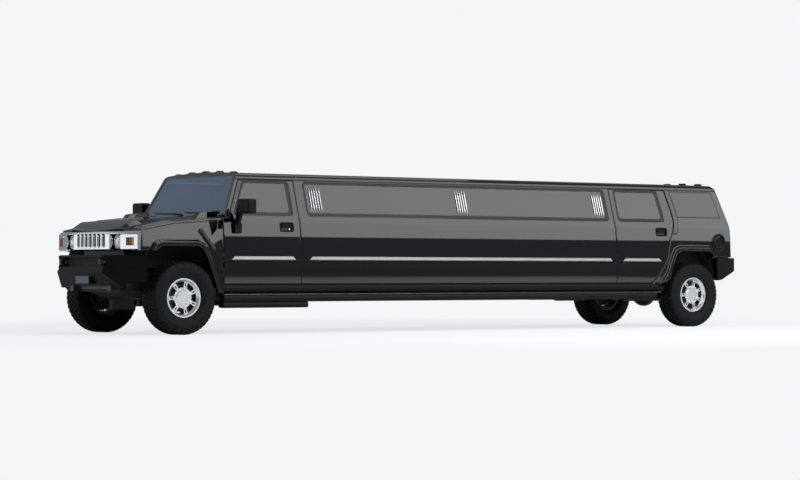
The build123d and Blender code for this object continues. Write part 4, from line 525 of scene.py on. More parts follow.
def turned(name, profile, origin, axis, material, body, steps=LAMP_RING, open_ends=False):
    """Piece turned about an axis from a profile of (radius, along the axis)."""
    frame_of = Vector(axis).normalized().to_track_quat("Z", "Y").to_matrix()
    points = []
    for k in range(steps):
        a = 2 * math.pi * k / steps
        for radius, along in profile:
            points.append(Vector(origin) + frame_of @ Vector((radius * math.cos(a), radius * math.sin(a),
                                                              along)))
    size = len(profile)
    faces = []
    for k in range(steps):
        n = (k + 1) % steps
        for j in range(size - 1):
            faces.append((k * size + j, k * size + j + 1, n * size + j + 1, n * size + j))
    piece = new_piece(name, points, faces, material, body, smooth=True)
    work = bmesh.new()
    work.from_mesh(piece.data)
    bmesh.ops.remove_doubles(work, verts=work.verts, dist=1e-6)
    bmesh.ops.recalc_face_normals(work, faces=work.faces)
    work.to_mesh(piece.data)
    work.free()
    return piece


lamp_low, lamp_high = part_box("headlamps")
lamp_radius = (lamp_high.z - lamp_low.z) / 2
lamp_back, lamp_front = lamp_low.x, lamp_high.x
for side, sign in (("left", 1), ("right", -1)):
    centre = (lamp_back, sign * (lamp_high.y - lamp_radius), LAMP_Z)
    deep = lamp_front - lamp_back
    bowl = [(0.0, 0.012), (0.02, 0.014), (0.045, 0.030), (0.066, deep * 0.55), (0.078, deep * 0.86),
            (lamp_radius - 0.002, deep * 0.88), (lamp_radius - 0.002, deep * 0.80),
            (lamp_radius - 0.008, 0.0), (0.0, 0.0)]
    shell = turned(f"lamp_bowl_{side}", bowl, centre, (1, 0, 0), bowl_metal, "body")
    cover = [(0.0, deep), (0.03, deep - 0.003), (0.056, deep - 0.009), (lamp_radius - 0.006, deep - 0.019),
             (lamp_radius, deep * 0.80), (lamp_radius - 0.003, deep * 0.80),
             (lamp_radius - 0.009, deep - 0.022), (0.055, deep - 0.0125), (0.03, deep - 0.0065),
             (0.0, deep - 0.0035)]
    turned(f"lamp_lens_{side}", cover, centre, (1, 0, 0), lens, "body")
    capsule = [(0.0, deep * 0.72), (0.006, deep * 0.70), (0.008, deep * 0.62), (0.008, deep * 0.30),
               (0.014, deep * 0.26), (0.014, 0.02), (0.0, 0.02)]
    turned(f"lamp_bulb_{side}", capsule, centre, (1, 0, 0), bowl_metal, "body", steps=20)
    y0, half = centre[1], 0.100
    ring_x = lamp_front - 0.030
    points, faces = [], []
    for k in range(40):
        a = 2 * math.pi * (k + 0.5) / 40
        c, s = math.cos(a), math.sin(a)
        edge = 1 / max(abs(c), abs(s))
        for reach, dx in ((lamp_radius + 0.0015, 0.004), (lamp_radius + 0.0015, -0.020), (None, -0.026),
                          (None, -0.012)):
            ry, rz = (half * edge * c, 0.086 * edge * s) if reach is None else (reach * c, reach * s)
            points.append((ring_x + dx, y0 + ry, LAMP_Z + rz))
    new_piece(f"lamp_bezel_{side}", points, loops_to_faces(40, 4), moulded, "body")
    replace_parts(shell, "headlamps")

# Signal and marker lamps: acrylic lenses, amber or red, welded to their housings. Their inner faces are
# moulded in shallow waves, which spread the light: upright ones on the amber lenses, level ones on the red.
def prism_lens(name, tint, wave_mm, direction):
    """Lens whose waves lie wave_mm x 2 pi from crest to crest, because the node's bands repeat every 2 pi."""
    material = bpy.data.materials.new(name)
    material.use_nodes = True
    tree = material.node_tree
    shader = tree.nodes["Principled BSDF"]
    for key, value in {"Base Color": linear(tint), "Roughness": 0.12, "IOR": 1.49,
                       "Transmission Weight": 0.35, "Coat Weight": 0.6, "Coat Roughness": 0.05}.items():
        shader.inputs[key].default_value = value
    place = add_node(tree, "ShaderNodeTexCoord").outputs["Object"]
    prisms = add_node(tree, "ShaderNodeTexWave", {"wave_type": "BANDS", "bands_direction": direction,
                                                  "Scale": 1000 / wave_mm / 20}, {"Vector": place})
    raised = add_node(tree, "ShaderNodeBump", {"Strength": 0.6, "Distance": 0.002},
                      {"Height": prisms.outputs["Fac"]})
    tree.links.new(raised.outputs[0], shader.inputs["Normal"])
    return material


# The waves come out 88 mm long on the amber lenses and 113 mm long on the red ones: broad swells, far
# coarser than the millimetres of real lamp prisms.
dress(prism_lens("amber_prism_acrylic", "#C8761F", 14, "Y"), "marker_lamps")
dress(prism_lens("red_prism_acrylic", "#A0141A", 18, "Z"), "tail_lamps")

# Towing loops: forged steel eyes in the bumper's recess, bolted to the rails and coated black,
# with the coating mottled light grey in random patches.
forging = finish_of("coated_steel_forging", {"Base Color": "#2A2A2C", "Roughness": 0.36, "Metallic": 0.6},
                    bump=(6, 0.4), mottle=(35, "#8A8A8C", 0.35))
dress(forging, "tow_loops")

# Number plate place on the front bumper's chin: a blank pressed aluminium plate, painted slate, screwed on.
plate_paint = finish_of("painted_aluminium_plate", {"Base Color": "#29323E", "Roughness": 0.3,
                                                    "Metallic": 0.2},
                        bump=(40, 0.3), mottle=(50, "#4A586A", 0.6))
bumper_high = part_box("front_bumper")[1]
PLATE_HALF, PLATE_Z = 0.152, (0.606, 0.746)
plate_x = bumper_high.x - 0.040
points = [(plate_x + out, y, z) for out in (0.0004, 0.0024) for y, z in
          ((-PLATE_HALF, PLATE_Z[0]), (PLATE_HALF, PLATE_Z[0]), (PLATE_HALF, PLATE_Z[1]),
           (-PLATE_HALF, PLATE_Z[1]))]
PLATE_FACES = [(0, 1, 2, 3), (4, 5, 6, 7), (0, 1, 5, 4), (1, 2, 6, 5), (2, 3, 7, 6), (3, 0, 4, 7)]
new_piece("front_plate", points, PLATE_FACES, plate_paint, "body")

# Wheels: cast aluminium alloy, machined bright on the outer faces of the spokes, hub and lip and lacquered;
# everything inward of those faces - the pockets, the barrel and the brake disc's bell seen through them - is
# painted shade: dark grey, rougher and less metallic, standing for the shade inside the wheel.
MACHINED_Y = 0.9415
alloy = bpy.data.materials.new("machined_alloy_painted_shade")
alloy.use_nodes = True
tree = alloy.node_tree
shader = tree.nodes["Principled BSDF"]
shader.inputs["IOR"].default_value = 1.45
place = add_node(tree, "ShaderNodeTexCoord").outputs["Object"]
parts = add_node(tree, "ShaderNodeSeparateXYZ", {}, {0: place})
across = add_node(tree, "ShaderNodeMath", {"operation": "ABSOLUTE"}, {0: parts.outputs["Y"]})
# Painted shade: inward of the machined face the wheel turns dark grey, rough and dull.
out_of_painted_shade = add_node(tree, "ShaderNodeMapRange", {"From Min": MACHINED_Y - 0.002,
                                               "From Max": MACHINED_Y + 0.002},
                  {"Value": across.outputs[0]})
lathe = add_node(tree, "ShaderNodeTexNoise", {"Scale": 90.0, "Detail": 3.0}, {"Vector": place})
tone = add_node(tree, "ShaderNodeMix", {"data_type": "RGBA", 6: linear("#C9CBCE"), 7: linear("#DFE1E3")},
                {0: lathe.outputs["Fac"]})
colour = add_node(tree, "ShaderNodeMix", {"data_type": "RGBA", 6: linear("#202124")},
                  {0: out_of_painted_shade.outputs[0], 7: tone.outputs[2]})
metal = add_node(tree, "ShaderNodeMapRange", {"To Min": 0.2, "To Max": 0.95}, {"Value": out_of_painted_shade.outputs[0]})
rough = add_node(tree, "ShaderNodeMapRange", {"To Min": 0.6, "To Max": 0.24}, {"Value": out_of_painted_shade.outputs[0]})
tree.links.new(colour.outputs[2], shader.inputs["Base Color"])
tree.links.new(metal.outputs[0], shader.inputs["Metallic"])
tree.links.new(rough.outputs[0], shader.inputs["Roughness"])
raised = add_node(tree, "ShaderNodeBump", {"Strength": 0.2, "Distance": 0.0002},
                  {"Height": lathe.outputs["Fac"]})
tree.links.new(raised.outputs[0], shader.inputs["Normal"])
CORNERS = (("front_left", 1), ("front_right", -1), ("rear_left", 1), ("rear_right", -1))
dress(alloy, *[f"rim_{corner}" for corner, sign in CORNERS])

# Wheel bolts, their chromed caps in a ring round the hub cap, and the valve stem through the barrel.
HUB_FACE, BOLT_RING, BOLTS = 0.9695, 0.1065, 8
for corner, sign in CORNERS:
    low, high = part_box(f"rim_{corner}")
    axle = ((low.x + high.x) / 2, (low.z + high.z) / 2)
    points, faces = [], []
    for i in range(BOLTS):
        a = 2 * math.pi * (i + 0.5) / BOLTS
        cx, cz = axle[0] + BOLT_RING * math.cos(a), axle[1] + BOLT_RING * math.sin(a)
        start = len(points)
        for radius, out in ((0.0105, -0.001), (0.0105, 0.007), (0.0085, 0.0105), (0.004, 0.012)):
            for k in range(6):
                b = math.pi * k / 3
                points.append((cx + radius * math.cos(b), sign * (HUB_FACE + out), cz + radius * math.sin(b)))
        faces += [tuple(v + start for v in f) for f in loops_to_faces(4, 6, closed=False)]
        faces.append(tuple(range(len(points) - 6, len(points))))
    new_piece(f"wheel_bolts_{corner}", points, faces, chrome, f"wheel_{corner}")
    valve = (axle[0] + 0.178, sign * 0.972, axle[1] + 0.02)
    stem = [(0.0, 0.026), (0.004, 0.025), (0.004, 0.010), (0.0055, 0.009), (0.0055, -0.012), (0.0, -0.012)]
    turned(f"valve_{corner}", stem, valve, (-0.25, sign, 0), rubber, f"wheel_{corner}",
           steps=12)

# Tyres: moulded black rubber on steel and nylon plies, with an all-terrain tread of staggered blocks whose
# outer rows wrap over the shoulder. Sidewalls have a raised guard rib, a bead line and no lettering.
TREAD_PITCHES = 46
BLOCK_DEPTH = 0.0095
TYRE_RADIUS = (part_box("tyre_front_left")[1].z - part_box("tyre_front_left")[0].z) / 2
HALF_WIDTH = (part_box("tyre_front_left")[1].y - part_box("tyre_front_left")[0].y) / 2
tread_rubber = bpy.data.materials.new("vulcanised_tread_rubber")
tread_rubber.use_nodes = True
tree = tread_rubber.node_tree
shader = tree.nodes["Principled BSDF"]
for key, value in {"Base Color": linear("#0D0D0E"), "Roughness": 0.62, "Specular IOR Level": 0.12}.items():
    shader.inputs[key].default_value = value
place = add_node(tree, "ShaderNodeTexCoord").outputs["Object"]
dust = add_node(tree, "ShaderNodeTexNoise", {"Scale": 14.0, "Detail": 5.0}, {"Vector": place})
tint = add_node(tree, "ShaderNodeMapRange", {"From Min": 0.4, "From Max": 0.8, "To Max": 0.6},
                {"Value": dust.outputs["Fac"]})
colour = add_node(tree, "ShaderNodeMix", {"data_type": "RGBA", 6: linear("#0C0C0D"), 7: linear("#19181B")},
                  {0: tint.outputs[0]})
tree.links.new(colour.outputs[2], shader.inputs["Base Color"])
skin = add_node(tree, "ShaderNodeTexNoise", {"Scale": 400.0, "Detail": 2.0}, {"Vector": place})
raised = add_node(tree, "ShaderNodeBump", {"Strength": 0.3, "Distance": 0.0003},
                  {"Height": skin.outputs["Fac"]})
tree.links.new(raised.outputs[0], shader.inputs["Normal"])
FLOOR_R = TYRE_RADIUS - BLOCK_DEPTH
profile = [(0.2125, 0.0995), (0.2336, 0.1025), (0.240, 0.118), (0.250, 0.128), (0.256, 0.127), (0.290, 0.146),
           (0.322, 0.1545), (0.338, 0.1555), (0.340, HALF_WIDTH), (0.356, HALF_WIDTH), (0.358, 0.1550),
           (0.385, 0.1500), (0.405, 0.1425), (FLOOR_R - 0.004, 0.128), (FLOOR_R, 0.110), (FLOOR_R, 0.055),
           (FLOOR_R, 0.0)]
profile += [(r, -w) for r, w in reversed(profile[:-1])]
# Rows of blocks: middle, half width, length as a share of the pitch, stagger in pitches, skew in pitches
ROWS = ((0.0, 0.017, 0.74, 0.0, 0.12), (0.0465, 0.020, 0.76, 0.5, 0.18), (-0.0465, 0.020, 0.76, 0.5, -0.18))


def tyre_mesh(name):
    steps = TREAD_PITCHES * 4
    points, faces = [], []
    for k in range(steps):
        a = 2 * math.pi * k / steps
        points += [(r * math.cos(a), w, r * math.sin(a)) for r, w in profile]
    faces += loops_to_faces(steps, len(profile))

    def place_at(r, w, turn):
        a = 2 * math.pi * turn / TREAD_PITCHES
        return (r * math.cos(a), w, r * math.sin(a))

    def block(sections):
        """Block from sections (radius at its foot, radius at its top, width place, start and end in
        pitches)."""
        start = len(points)
        for foot, top, w, t0, t1 in sections:
            ease = 0.035
            points.extend([place_at(foot, w, t0), place_at(top, w, t0 + ease),
                           place_at(top, w, (t0 + t1) / 2), place_at(top, w, t1 - ease),
                           place_at(foot, w, t1)])
        for i in range(len(sections) - 1):
            for j in range(4):
                a = start + i * 5 + j
                faces.append((a, a + 1, a + 6, a + 5))
        faces.append(tuple(range(start, start + 5)))
        faces.append(tuple(range(start + 5 * len(sections) - 5, start + 5 * len(sections))))

    for n in range(TREAD_PITCHES):
        for middle, half, share, stagger, skew in ROWS:
            t = n + stagger
            block([(FLOOR_R - 0.002, TYRE_RADIUS, middle + half * s, t + skew * s - share / 2,
                    t + skew * s + share / 2)
                   for s in (-1, -0.2, 0.2, 1)])
        for s in (1, -1):
            t = n + 0.15
            wide = 0.36 if n % 2 else 0.30
            block([(FLOOR_R - 0.002, TYRE_RADIUS, s * 0.077, t - wide, t + wide),
                   (FLOOR_R - 0.002, TYRE_RADIUS, s * 0.106, t - wide, t + wide),
                   (FLOOR_R - 0.006, TYRE_RADIUS - 0.0065, s * 0.127, t - wide, t + wide),
                   (FLOOR_R - 0.020, TYRE_RADIUS - 0.0225, s * 0.1445, t - wide, t + wide)])
            if n % 2:
                block([(0.398, TYRE_RADIUS - 0.0235, s * 0.1440, t - 0.28, t + 0.28),
                       (0.376, 0.3900, s * 0.1560, t - 0.20, t + 0.20)])
    mesh = bpy.data.meshes.new(name)
    mesh.from_pydata(points, [], faces)
    work = bmesh.new()
    work.from_mesh(mesh)
    bmesh.ops.recalc_face_normals(work, faces=work.faces)
    work.to_mesh(mesh)
    work.free()
    mesh.materials.append(tread_rubber)
    mesh.shade_smooth()
    mesh.set_sharp_from_angle(angle=math.radians(28))
    return mesh


shared_tyre = tyre_mesh("all_terrain_tyre")
for corner, sign in CORNERS:
    low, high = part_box(f"tyre_{corner}")
    tyre = bpy.data.objects.new(f"tread_tyre_{corner}", shared_tyre)
    bpy.context.scene.collection.objects.link(tyre)
    tyre.location = (low + high) / 2
    if sign < 0:
        tyre.rotation_euler = (0, 0, math.pi)
    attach(tyre, f"wheel_{corner}")
    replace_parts(tyre, f"tyre_{corner}")


# Black rubber lips lying on the side windows' panes inside their frames: all round they are the frame's black
# edge, and at the rear and along the foot of each window they widen into painted shade, a dark band standing
# for the shadow line round a recessed pane.
LIP_OUT = (-GLASS_DEPTH + 0.0004, -GLASS_DEPTH + 0.0016)
LIP_FRONT, LIP_REAR_WITH_SHADE, LIP_FOOT_WITH_SHADE, LIP_HEAD = 0.026, 0.050, 0.038, 0.026


def window_lip_and_shade(name, corners, side, body):
    (x0, z0), (x1, _), (x2, z1), (x3, _) = corners
    inside = [(x0 - LIP_FRONT, z0 + LIP_FOOT_WITH_SHADE), (x1 + LIP_REAR_WITH_SHADE, z0 + LIP_FOOT_WITH_SHADE), (x2 + LIP_REAR_WITH_SHADE, z1 - LIP_HEAD),
              (x3 - LIP_FRONT, z1 - LIP_HEAD)]
    outer, inner = window_ring(corners, 0.013, 0.028), window_ring(inside, 0.0, 0.035)
    rows = ((outer, LIP_OUT[0]), (outer, LIP_OUT[1]), (inner, LIP_OUT[1]), (inner, LIP_OUT[0]))
    points = [(x, side * (side_y(z) + out), z) for line, out in rows for x, z in line]
    return new_piece(name, points, loops_to_faces(4, len(outer)), rubber, body)


for side, sign in (("left", 1), ("right", -1)):
    low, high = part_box(f"glass_front_{side}")
    window_lip_and_shade(f"lip_and_shade_front_{side}", window_corners(f"glass_front_{side}", lean * (high.z - low.z)), sign,
               f"door_front_{side}")
    window_lip_and_shade(f"lip_and_shade_rear_{side}", window_corners(f"glass_rear_{side}", 0.0, 0.044), sign,
               f"door_rear_{side}")
    window_lip_and_shade(f"lip_and_shade_long_{side}", window_corners("side_glass"), sign, "body")

# Door handles: a moulded black bezel clipped into the door's pocket, with a lift-up paddle hinged in it;
# the front doors have a lock barrel below the paddle.
HANDLE_Z, HANDLE_HALF = 1.285, (0.095, 0.050)
POCKET_Y = 0.955


def corners_of(x, z, half_x, half_z):
    return [(x + half_x, z - half_z), (x - half_x, z - half_z), (x - half_x, z + half_z),
            (x + half_x, z + half_z)]


def plate_stack(name, loops, material, body, smooth=False):
    """Closed piece from loops of the same number of points, one above the other."""
    size = len(loops[0])
    points = [point for loop in loops for point in loop]
    faces = loops_to_faces(len(loops), size, closed=False)
    faces += [tuple(range(size)), tuple(range(len(points) - size, len(points)))]
    return new_piece(name, points, faces, material, body, smooth)


def side_stack(name, corners, radius, levels, side, material, body):
    """Raised plate on the car's side; the levels are (y, how far the outline is drawn in)."""
    loops = [[(x, side * y, z) for x, z in window_ring(corners, inset, radius)] for y, inset in levels]
    return plate_stack(name, loops, material, body)


BEZEL_SECTION = [(0.008, -0.020), (-0.009, -0.002), (-0.009, 0.003), (-0.001, 0.006), (0.007, 0.003),
                 (0.009, -0.004)]
for side, sign in (("left", 1), ("right", -1)):
    for door, x in (("front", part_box(f"door_front_{side}")[0].x + 0.195), ("rear", -3.5145)):
        body = f"door_{door}_{side}"
        around = corners_of(x, HANDLE_Z, *HANDLE_HALF)
        side_strip(f"handle_bezel_{door}_{side}", window_ring(around, 0.001, 0.020), BEZEL_SECTION, sign,
                   moulded, body)
        side_stack(f"handle_back_{door}_{side}", around, 0.018,
                   ((POCKET_Y + 0.0004, 0.002), (POCKET_Y + 0.003, 0.002)),
                   sign, rubber, body)
        pull = corners_of(x, HANDLE_Z + 0.0167, 0.073, 0.0195)
        side_stack(f"handle_paddle_{door}_{side}", pull, 0.012,
                   ((POCKET_Y + 0.002, 0.0), (0.980, 0.0), (0.984, 0.004)), sign, moulded, body)
        if door == "front":
            barrel = [(0.0, 0.0), (0.011, 0.0), (0.011, 0.014), (0.009, 0.016), (0.0, 0.016)]
            turned(f"lock_barrel_{side}", barrel, (x - 0.045, sign * POCKET_Y, HANDLE_Z - 0.028),
                   (0, sign, 0), chrome, body, steps=20)

# Door mirrors: silvered glass held in the shell's open rear face by a soft gasket.
silvered = finish_of("silvered_mirror_glass", {"Base Color": "#C8CCD0", "Roughness": 0.02, "Metallic": 1.0},
                     mottle=(300, "#BFC4C8", 0.3))
for side, sign in (("left", 1), ("right", -1)):
    low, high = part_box(f"mirror_{side}")
    y = (high.y if sign > 0 else -low.y) - 0.1225
    for name, half, reach, material, slot in (("mirror_gasket", (0.113, 0.078), 0.0016, rubber,
                                               "black_plastic"),
                                              ("mirror_glass", (0.105, 0.070), 0.0034, silvered, "chrome")):
        face = corners_of(y, 1.523, *half)
        loops = [[(low.x - out, sign * v, z) for v, z in window_ring(face, inset, 0.03)]
                 for out, inset in ((-0.0005, 0.0), (reach - 0.001, 0.0), (reach, 0.002))]
        plate_stack(f"{name}_{side}", loops, material, f"door_front_{side}")

# Hood latches: a round rubber grip at the top of a ribbed rubber sleeve, hooked over a cleat on the fender.
LATCH_TOP, LATCH_FOOT = Vector((3.8695, 0.986, 1.227)), Vector((3.6945, 1.014, 1.000))
SLEEVE_RADIUS, SLEEVE_RIBS = 0.0262, 9
latch_rubber = finish_of("moulded_latch_rubber", {"Base Color": "#0A0A0B", "Roughness": 0.5}, bump=(4, 0.25))
for side, sign in (("left", 1), ("right", -1)):
    top, foot = [Vector((p.x, sign * p.y, p.z)) for p in (LATCH_TOP, LATCH_FOOT)]
    reach = (foot - top).length
    sleeve = [(0.0, -0.003), (SLEEVE_RADIUS, -0.003)]
    for i in range(SLEEVE_RIBS):
        at = reach * (0.18 + 0.72 * i / SLEEVE_RIBS)
        sleeve += [(SLEEVE_RADIUS, at), (SLEEVE_RADIUS - 0.0018, at + 0.004),
                   (SLEEVE_RADIUS - 0.0018, at + 0.008), (SLEEVE_RADIUS, at + 0.012)]
    sleeve += [(SLEEVE_RADIUS, reach + 0.001), (0.0, reach + 0.001)]
    turned(f"latch_sleeve_{side}", sleeve, top, foot - top, latch_rubber, "body", steps=24)
    grip = [(0.0, 0.0), (0.027, 0.0), (0.0295, 0.003), (0.0295, 0.027), (0.026, 0.031), (0.0, 0.031)]
    turned(f"latch_grip_{side}", grip, top - Vector((0, sign * 0.015, 0)), (0, sign, 0), latch_rubber, "body",
           steps=24)

# Fender vents: black steel gauze set deep in the opening behind seven thin moulded vanes.
VENT_CORNERS = [(3.727, 1.352), (3.624, 1.356), (3.643, 1.256), (3.716, 1.182)]
VENT_Y, VANES = 0.948, 7
gauze = finish_of("black_steel_gauze", {"Base Color": "#050505", "Roughness": 0.7}, bump=(4, 1.2))
for side, sign in (("left", 1), ("right", -1)):
    side_stack(f"vent_gauze_{side}", VENT_CORNERS, 0.006, ((VENT_Y, 0.0), (VENT_Y + 0.002, 0.0)), sign, gauze,
               "body")
    points, faces = [], []
    (xa, za), (xb, zb), (xc, zc), (xd, zd) = VENT_CORNERS
    for i in range(VANES):
        share = (i + 0.7) / VANES
        front_x, front_z = xa + (xd - xa) * share, za + (zd - za) * share
        rear_x, rear_z = xb + (xc - xb) * share, zb + (zc - zb) * share
        start = len(points)
        for x, z in ((front_x, front_z), (rear_x, rear_z)):
            points += [(x, sign * (VENT_Y + 0.001), z + 0.003), (x, sign * (VENT_Y + 0.022), z - 0.006),
                       (x, sign * (VENT_Y + 0.023), z - 0.003), (x, sign * (VENT_Y + 0.002), z + 0.006)]
        faces += [tuple(v + start for v in f) for f in loops_to_faces(2, 4, closed=False)]
        faces += [tuple(range(start, start + 4)), tuple(range(start + 7, start + 3, -1))]
    new_piece(f"vent_vanes_{side}", points, faces, moulded, "body")

# Windscreen wipers, parked along the foot of the screen: painted spring arms on splined spindles,
# each with a rubber blade in a flat steel carrier; and one short wiper on the liftgate's glass.
SCREEN_FOOT_X, SCREEN_LEAN = 3.5145, 0.226 / 0.462
REAR_FOOT_X, REAR_LEAN = -4.7985, 0.118 / 0.462
arm_paint = finish_of("painted_spring_arm", {"Base Color": "#101011", "Roughness": 0.4}, bump=(6, 0.1))


def screen_point(y, z, out):
    """Point a little outside the windscreen's outer face."""
    return Vector((SCREEN_FOOT_X - SCREEN_LEAN * (z - SHOULDER_Z) - 0.004 + out, y, z))


def gate_point(y, z, out):
    """Point a little outside the liftgate's glass."""
    return Vector((REAR_FOOT_X + REAR_LEAN * (z - SHOULDER_Z) + GLASS_DEPTH - out, y, z))


def wiper(name, on, spindle, elbow, blade, body):
    """Wiper from its spindle over an elbow to its blade's two ends, all (y, z) on a pane."""
    points = [on(*spindle, 0.012), on(*elbow, 0.022), on(*blade[0], 0.008), on(*blade[1], 0.008)]
    middle = (points[2] + points[3]) / 2
    for part, start, end, radius in (("arm", points[0], points[1], 0.0085),
                                     ("link", points[1], middle, 0.005),
                                     ("blade", points[2], points[3], 0.0065)):
        reach = (end - start).length
        rod = [(0.0, 0.0), (radius * 0.8, 0.0), (radius, reach * 0.15), (radius * 0.7, reach), (0.0, reach)]
        turned(f"{name}_{part}", rod, start, end - start, rubber if part == "blade" else arm_paint, body,
               steps=10)


wiper("wiper_left", screen_point, (0.66, 1.446), (0.52, 1.462), ((0.60, 1.452), (0.02, 1.470)), "body")
wiper("wiper_right", screen_point, (-0.03, 1.446), (-0.17, 1.462), ((-0.09, 1.452), (-0.67, 1.470)), "body")
wiper("wiper_gate", gate_point, (0.0, 1.452), (0.10, 1.462), ((-0.04, 1.455), (0.36, 1.475)), "liftgate")

# Running boards: folded steel, coated black, with a ribbed rubber mat on the tread
# and a thin bright nosing along the mat's outer edge.
board_coat = finish_of("coated_folded_steel", {"Base Color": "#0A0A0B", "Roughness": 0.4,
                                               "Specular IOR Level": 0.1}, bump=(7, 0.3),
                       mottle=(260, "#1A1A1B", 0.5))
dress(board_coat, "running_boards")
board_low, board_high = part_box("running_boards")
MAT_Y, MAT_RIBS, RIB_RISE = (0.936, 1.000), 8, 0.0028
NOSING = ((1.0015, 0.0), (1.0125, 0.0), (1.0150, 0.0030), (1.0125, 0.0055), (1.0035, 0.0055))
for side, sign in (("left", 1), ("right", -1)):
    section = [(MAT_Y[0], 0.0002)]
    for i in range(MAT_RIBS):
        y = MAT_Y[0] + (MAT_Y[1] - MAT_Y[0]) * (i + 0.1) / MAT_RIBS
        section += [(y, 0.0012), (y + 0.0015, RIB_RISE), (y + 0.0045, RIB_RISE), (y + 0.006, 0.0012)]
    section.append((MAT_Y[1], 0.0002))
    for name, line, material, slot in ((f"board_mat_{side}", section, rubber, "black_plastic"),
                                       (f"board_nosing_{side}", NOSING, strip_metal, "wheel_alloy")):
        loops = [[(x, sign * y, board_high.z + rise) for y, rise in line]
                 for x in (board_low.x + 0.01, board_high.x - 0.01)]
        plate_stack(name, loops, material, "body")

# Roof marker lamps stand in black moulded housings: those over the windscreen are open at the top and front,
# those over the liftgate are hooded and show their lenses only to the rear.
MARKER_ROWS = 5
lamps_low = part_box("marker_lamps")[0]
ROOF_Z, ROOF_CROWN, ROOF_EDGE_Y = 1.964, 0.028, 0.725
FRONT_MARKERS_X, REAR_MARKERS_X = 3.1685, lamps_low.x + 0.030
for row, middle, reach, rise in (("front", FRONT_MARKERS_X, (-0.036, 0.036), 0.008),
                                 ("rear", REAR_MARKERS_X, (-0.017, 0.038), 0.0215)):
    for i in range(MARKER_ROWS):
        y = (i - (MARKER_ROWS - 1) / 2) * (ROOF_EDGE_Y - 0.105) / 2
        crown = ROOF_Z - ROOF_CROWN * (y / ROOF_EDGE_Y) ** 2
        x = middle + (reach[0] + reach[1]) / 2
        loops = [[(u, v, crown + at) for u, v in window_ring(corners_of(x, y, (reach[1] - reach[0]) / 2,
                                                                        0.049), inset, 0.014)]
                 for at, inset in ((-0.003, 0.0), (rise - 0.003, 0.0), (rise, 0.004))]
        plate_stack(f"marker_housing_{row}_{i + 1}", loops, moulded, "body")

# Fuel filler: a black moulded ring screwed to the quarter panel by eight small socket bolts,
# with a raised circle pressed in the lid.
FILLER = Vector((-4.5735, 1.005, 1.155))
FILLER_BOLTS = 8
ring = [(0.0935, -0.002), (0.0935, 0.004), (0.097, 0.007), (0.106, 0.007), (0.1125, 0.003), (0.1135, -0.006),
        (0.108, -0.006), (0.0935, -0.002)]
turned("filler_ring", ring, FILLER, (0, 1, 0), moulded, "body", steps=48)
bolt = [(0.0, 0.0095), (0.0035, 0.0095), (0.0048, 0.0085), (0.0048, 0.005), (0.0, 0.005)]
for i in range(FILLER_BOLTS):
    a = 2 * math.pi * (i + 0.5) / FILLER_BOLTS
    at = FILLER + Vector((0.1015 * math.cos(a), 0, 0.1015 * math.sin(a)))
    turned(f"filler_bolt_{i + 1}", bolt, at, (0, 1, 0), rubber, "body", steps=10)
pressing = [(0.052, -0.001), (0.054, 0.0022), (0.058, 0.0022), (0.060, -0.001), (0.052, -0.001)]
turned("filler_lid_ring", pressing, FILLER, (0, 1, 0), moulded, "fuel_lid", steps=40)

# Rear fittings: a grab handle across the liftgate, and a blank white number plate screwed to the bumper
# at its two holes, 177.8 mm apart.
pull = [(-0.120, 0.0), (-0.112, 0.026), (0.112, 0.026), (0.120, 0.0)]
loops = [[(REAR_FOOT_X - out * share, y, z) for y, out in pull]
         for z, share in ((1.285, 0.7), (1.292, 1.0), (1.318, 1.0), (1.325, 0.7))]
plate_stack("liftgate_handle", loops, moulded, "liftgate")
blank = finish_of("blank_plate_enamel", {"Base Color": "#DADCDC", "Roughness": 0.32}, bump=(40, 0.2),
                  mottle=(70, "#CDD0D0", 0.5))
rear_low, rear_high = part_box("rear_bumper")
plate_top = rear_high.z - 0.026
face = corners_of(0.0, plate_top - 0.076, 0.1525, 0.076)
loops = [[(rear_low.x - out, y, z) for y, z in window_ring(face, inset, 0.012)]
         for out, inset in ((0.0002, 0.0), (0.0016, 0.0), (0.0022, 0.001))]
plate_stack("rear_plate", loops, blank, "body")
for i, y in enumerate((-0.0889, 0.0889)):
    head = [(0.0, 0.0052), (0.004, 0.0050), (0.0062, 0.0030), (0.0062, 0.0018), (0.0, 0.0018)]
    turned(f"rear_plate_screw_{i + 1}", head, (rear_low.x, y, rear_high.z - 0.040), (-1, 0, 0), chrome,
           "body", steps=14)

# Rubber seals in the gaps under the quarter panels and the liftgate and round the flares' feet, which keep
# spray out of the body: plain extruded strips pushed between the panels.
SEAL_STRIPS = ((-4.790, -4.530, 0.800, 0.965, 0.9373, 0.9447), (-4.790, -4.745, 0.000, 0.800, 0.9373, 0.9505),
               (-3.440, -3.326, 0.884, 0.900, 0.5925, 0.5995),
               (-3.4445, -3.4375, 0.884, 0.900, 0.5525, 0.5995),
               (-3.540, -3.4375, 0.884, 0.900, 0.5525, 0.5595))
for side, sign in (("left", 1), ("right", -1)):
    for i, (x0, x1, y0, y1, z0, z1) in enumerate(SEAL_STRIPS):
        loops = [[(x, sign * y, z) for x, y in ((x0, y0), (x1, y0), (x1, y1), (x0, y1))] for z in (z0, z1)]
        plate_stack(f"gap_seal_{side}_{i + 1}", loops, rubber, "body")

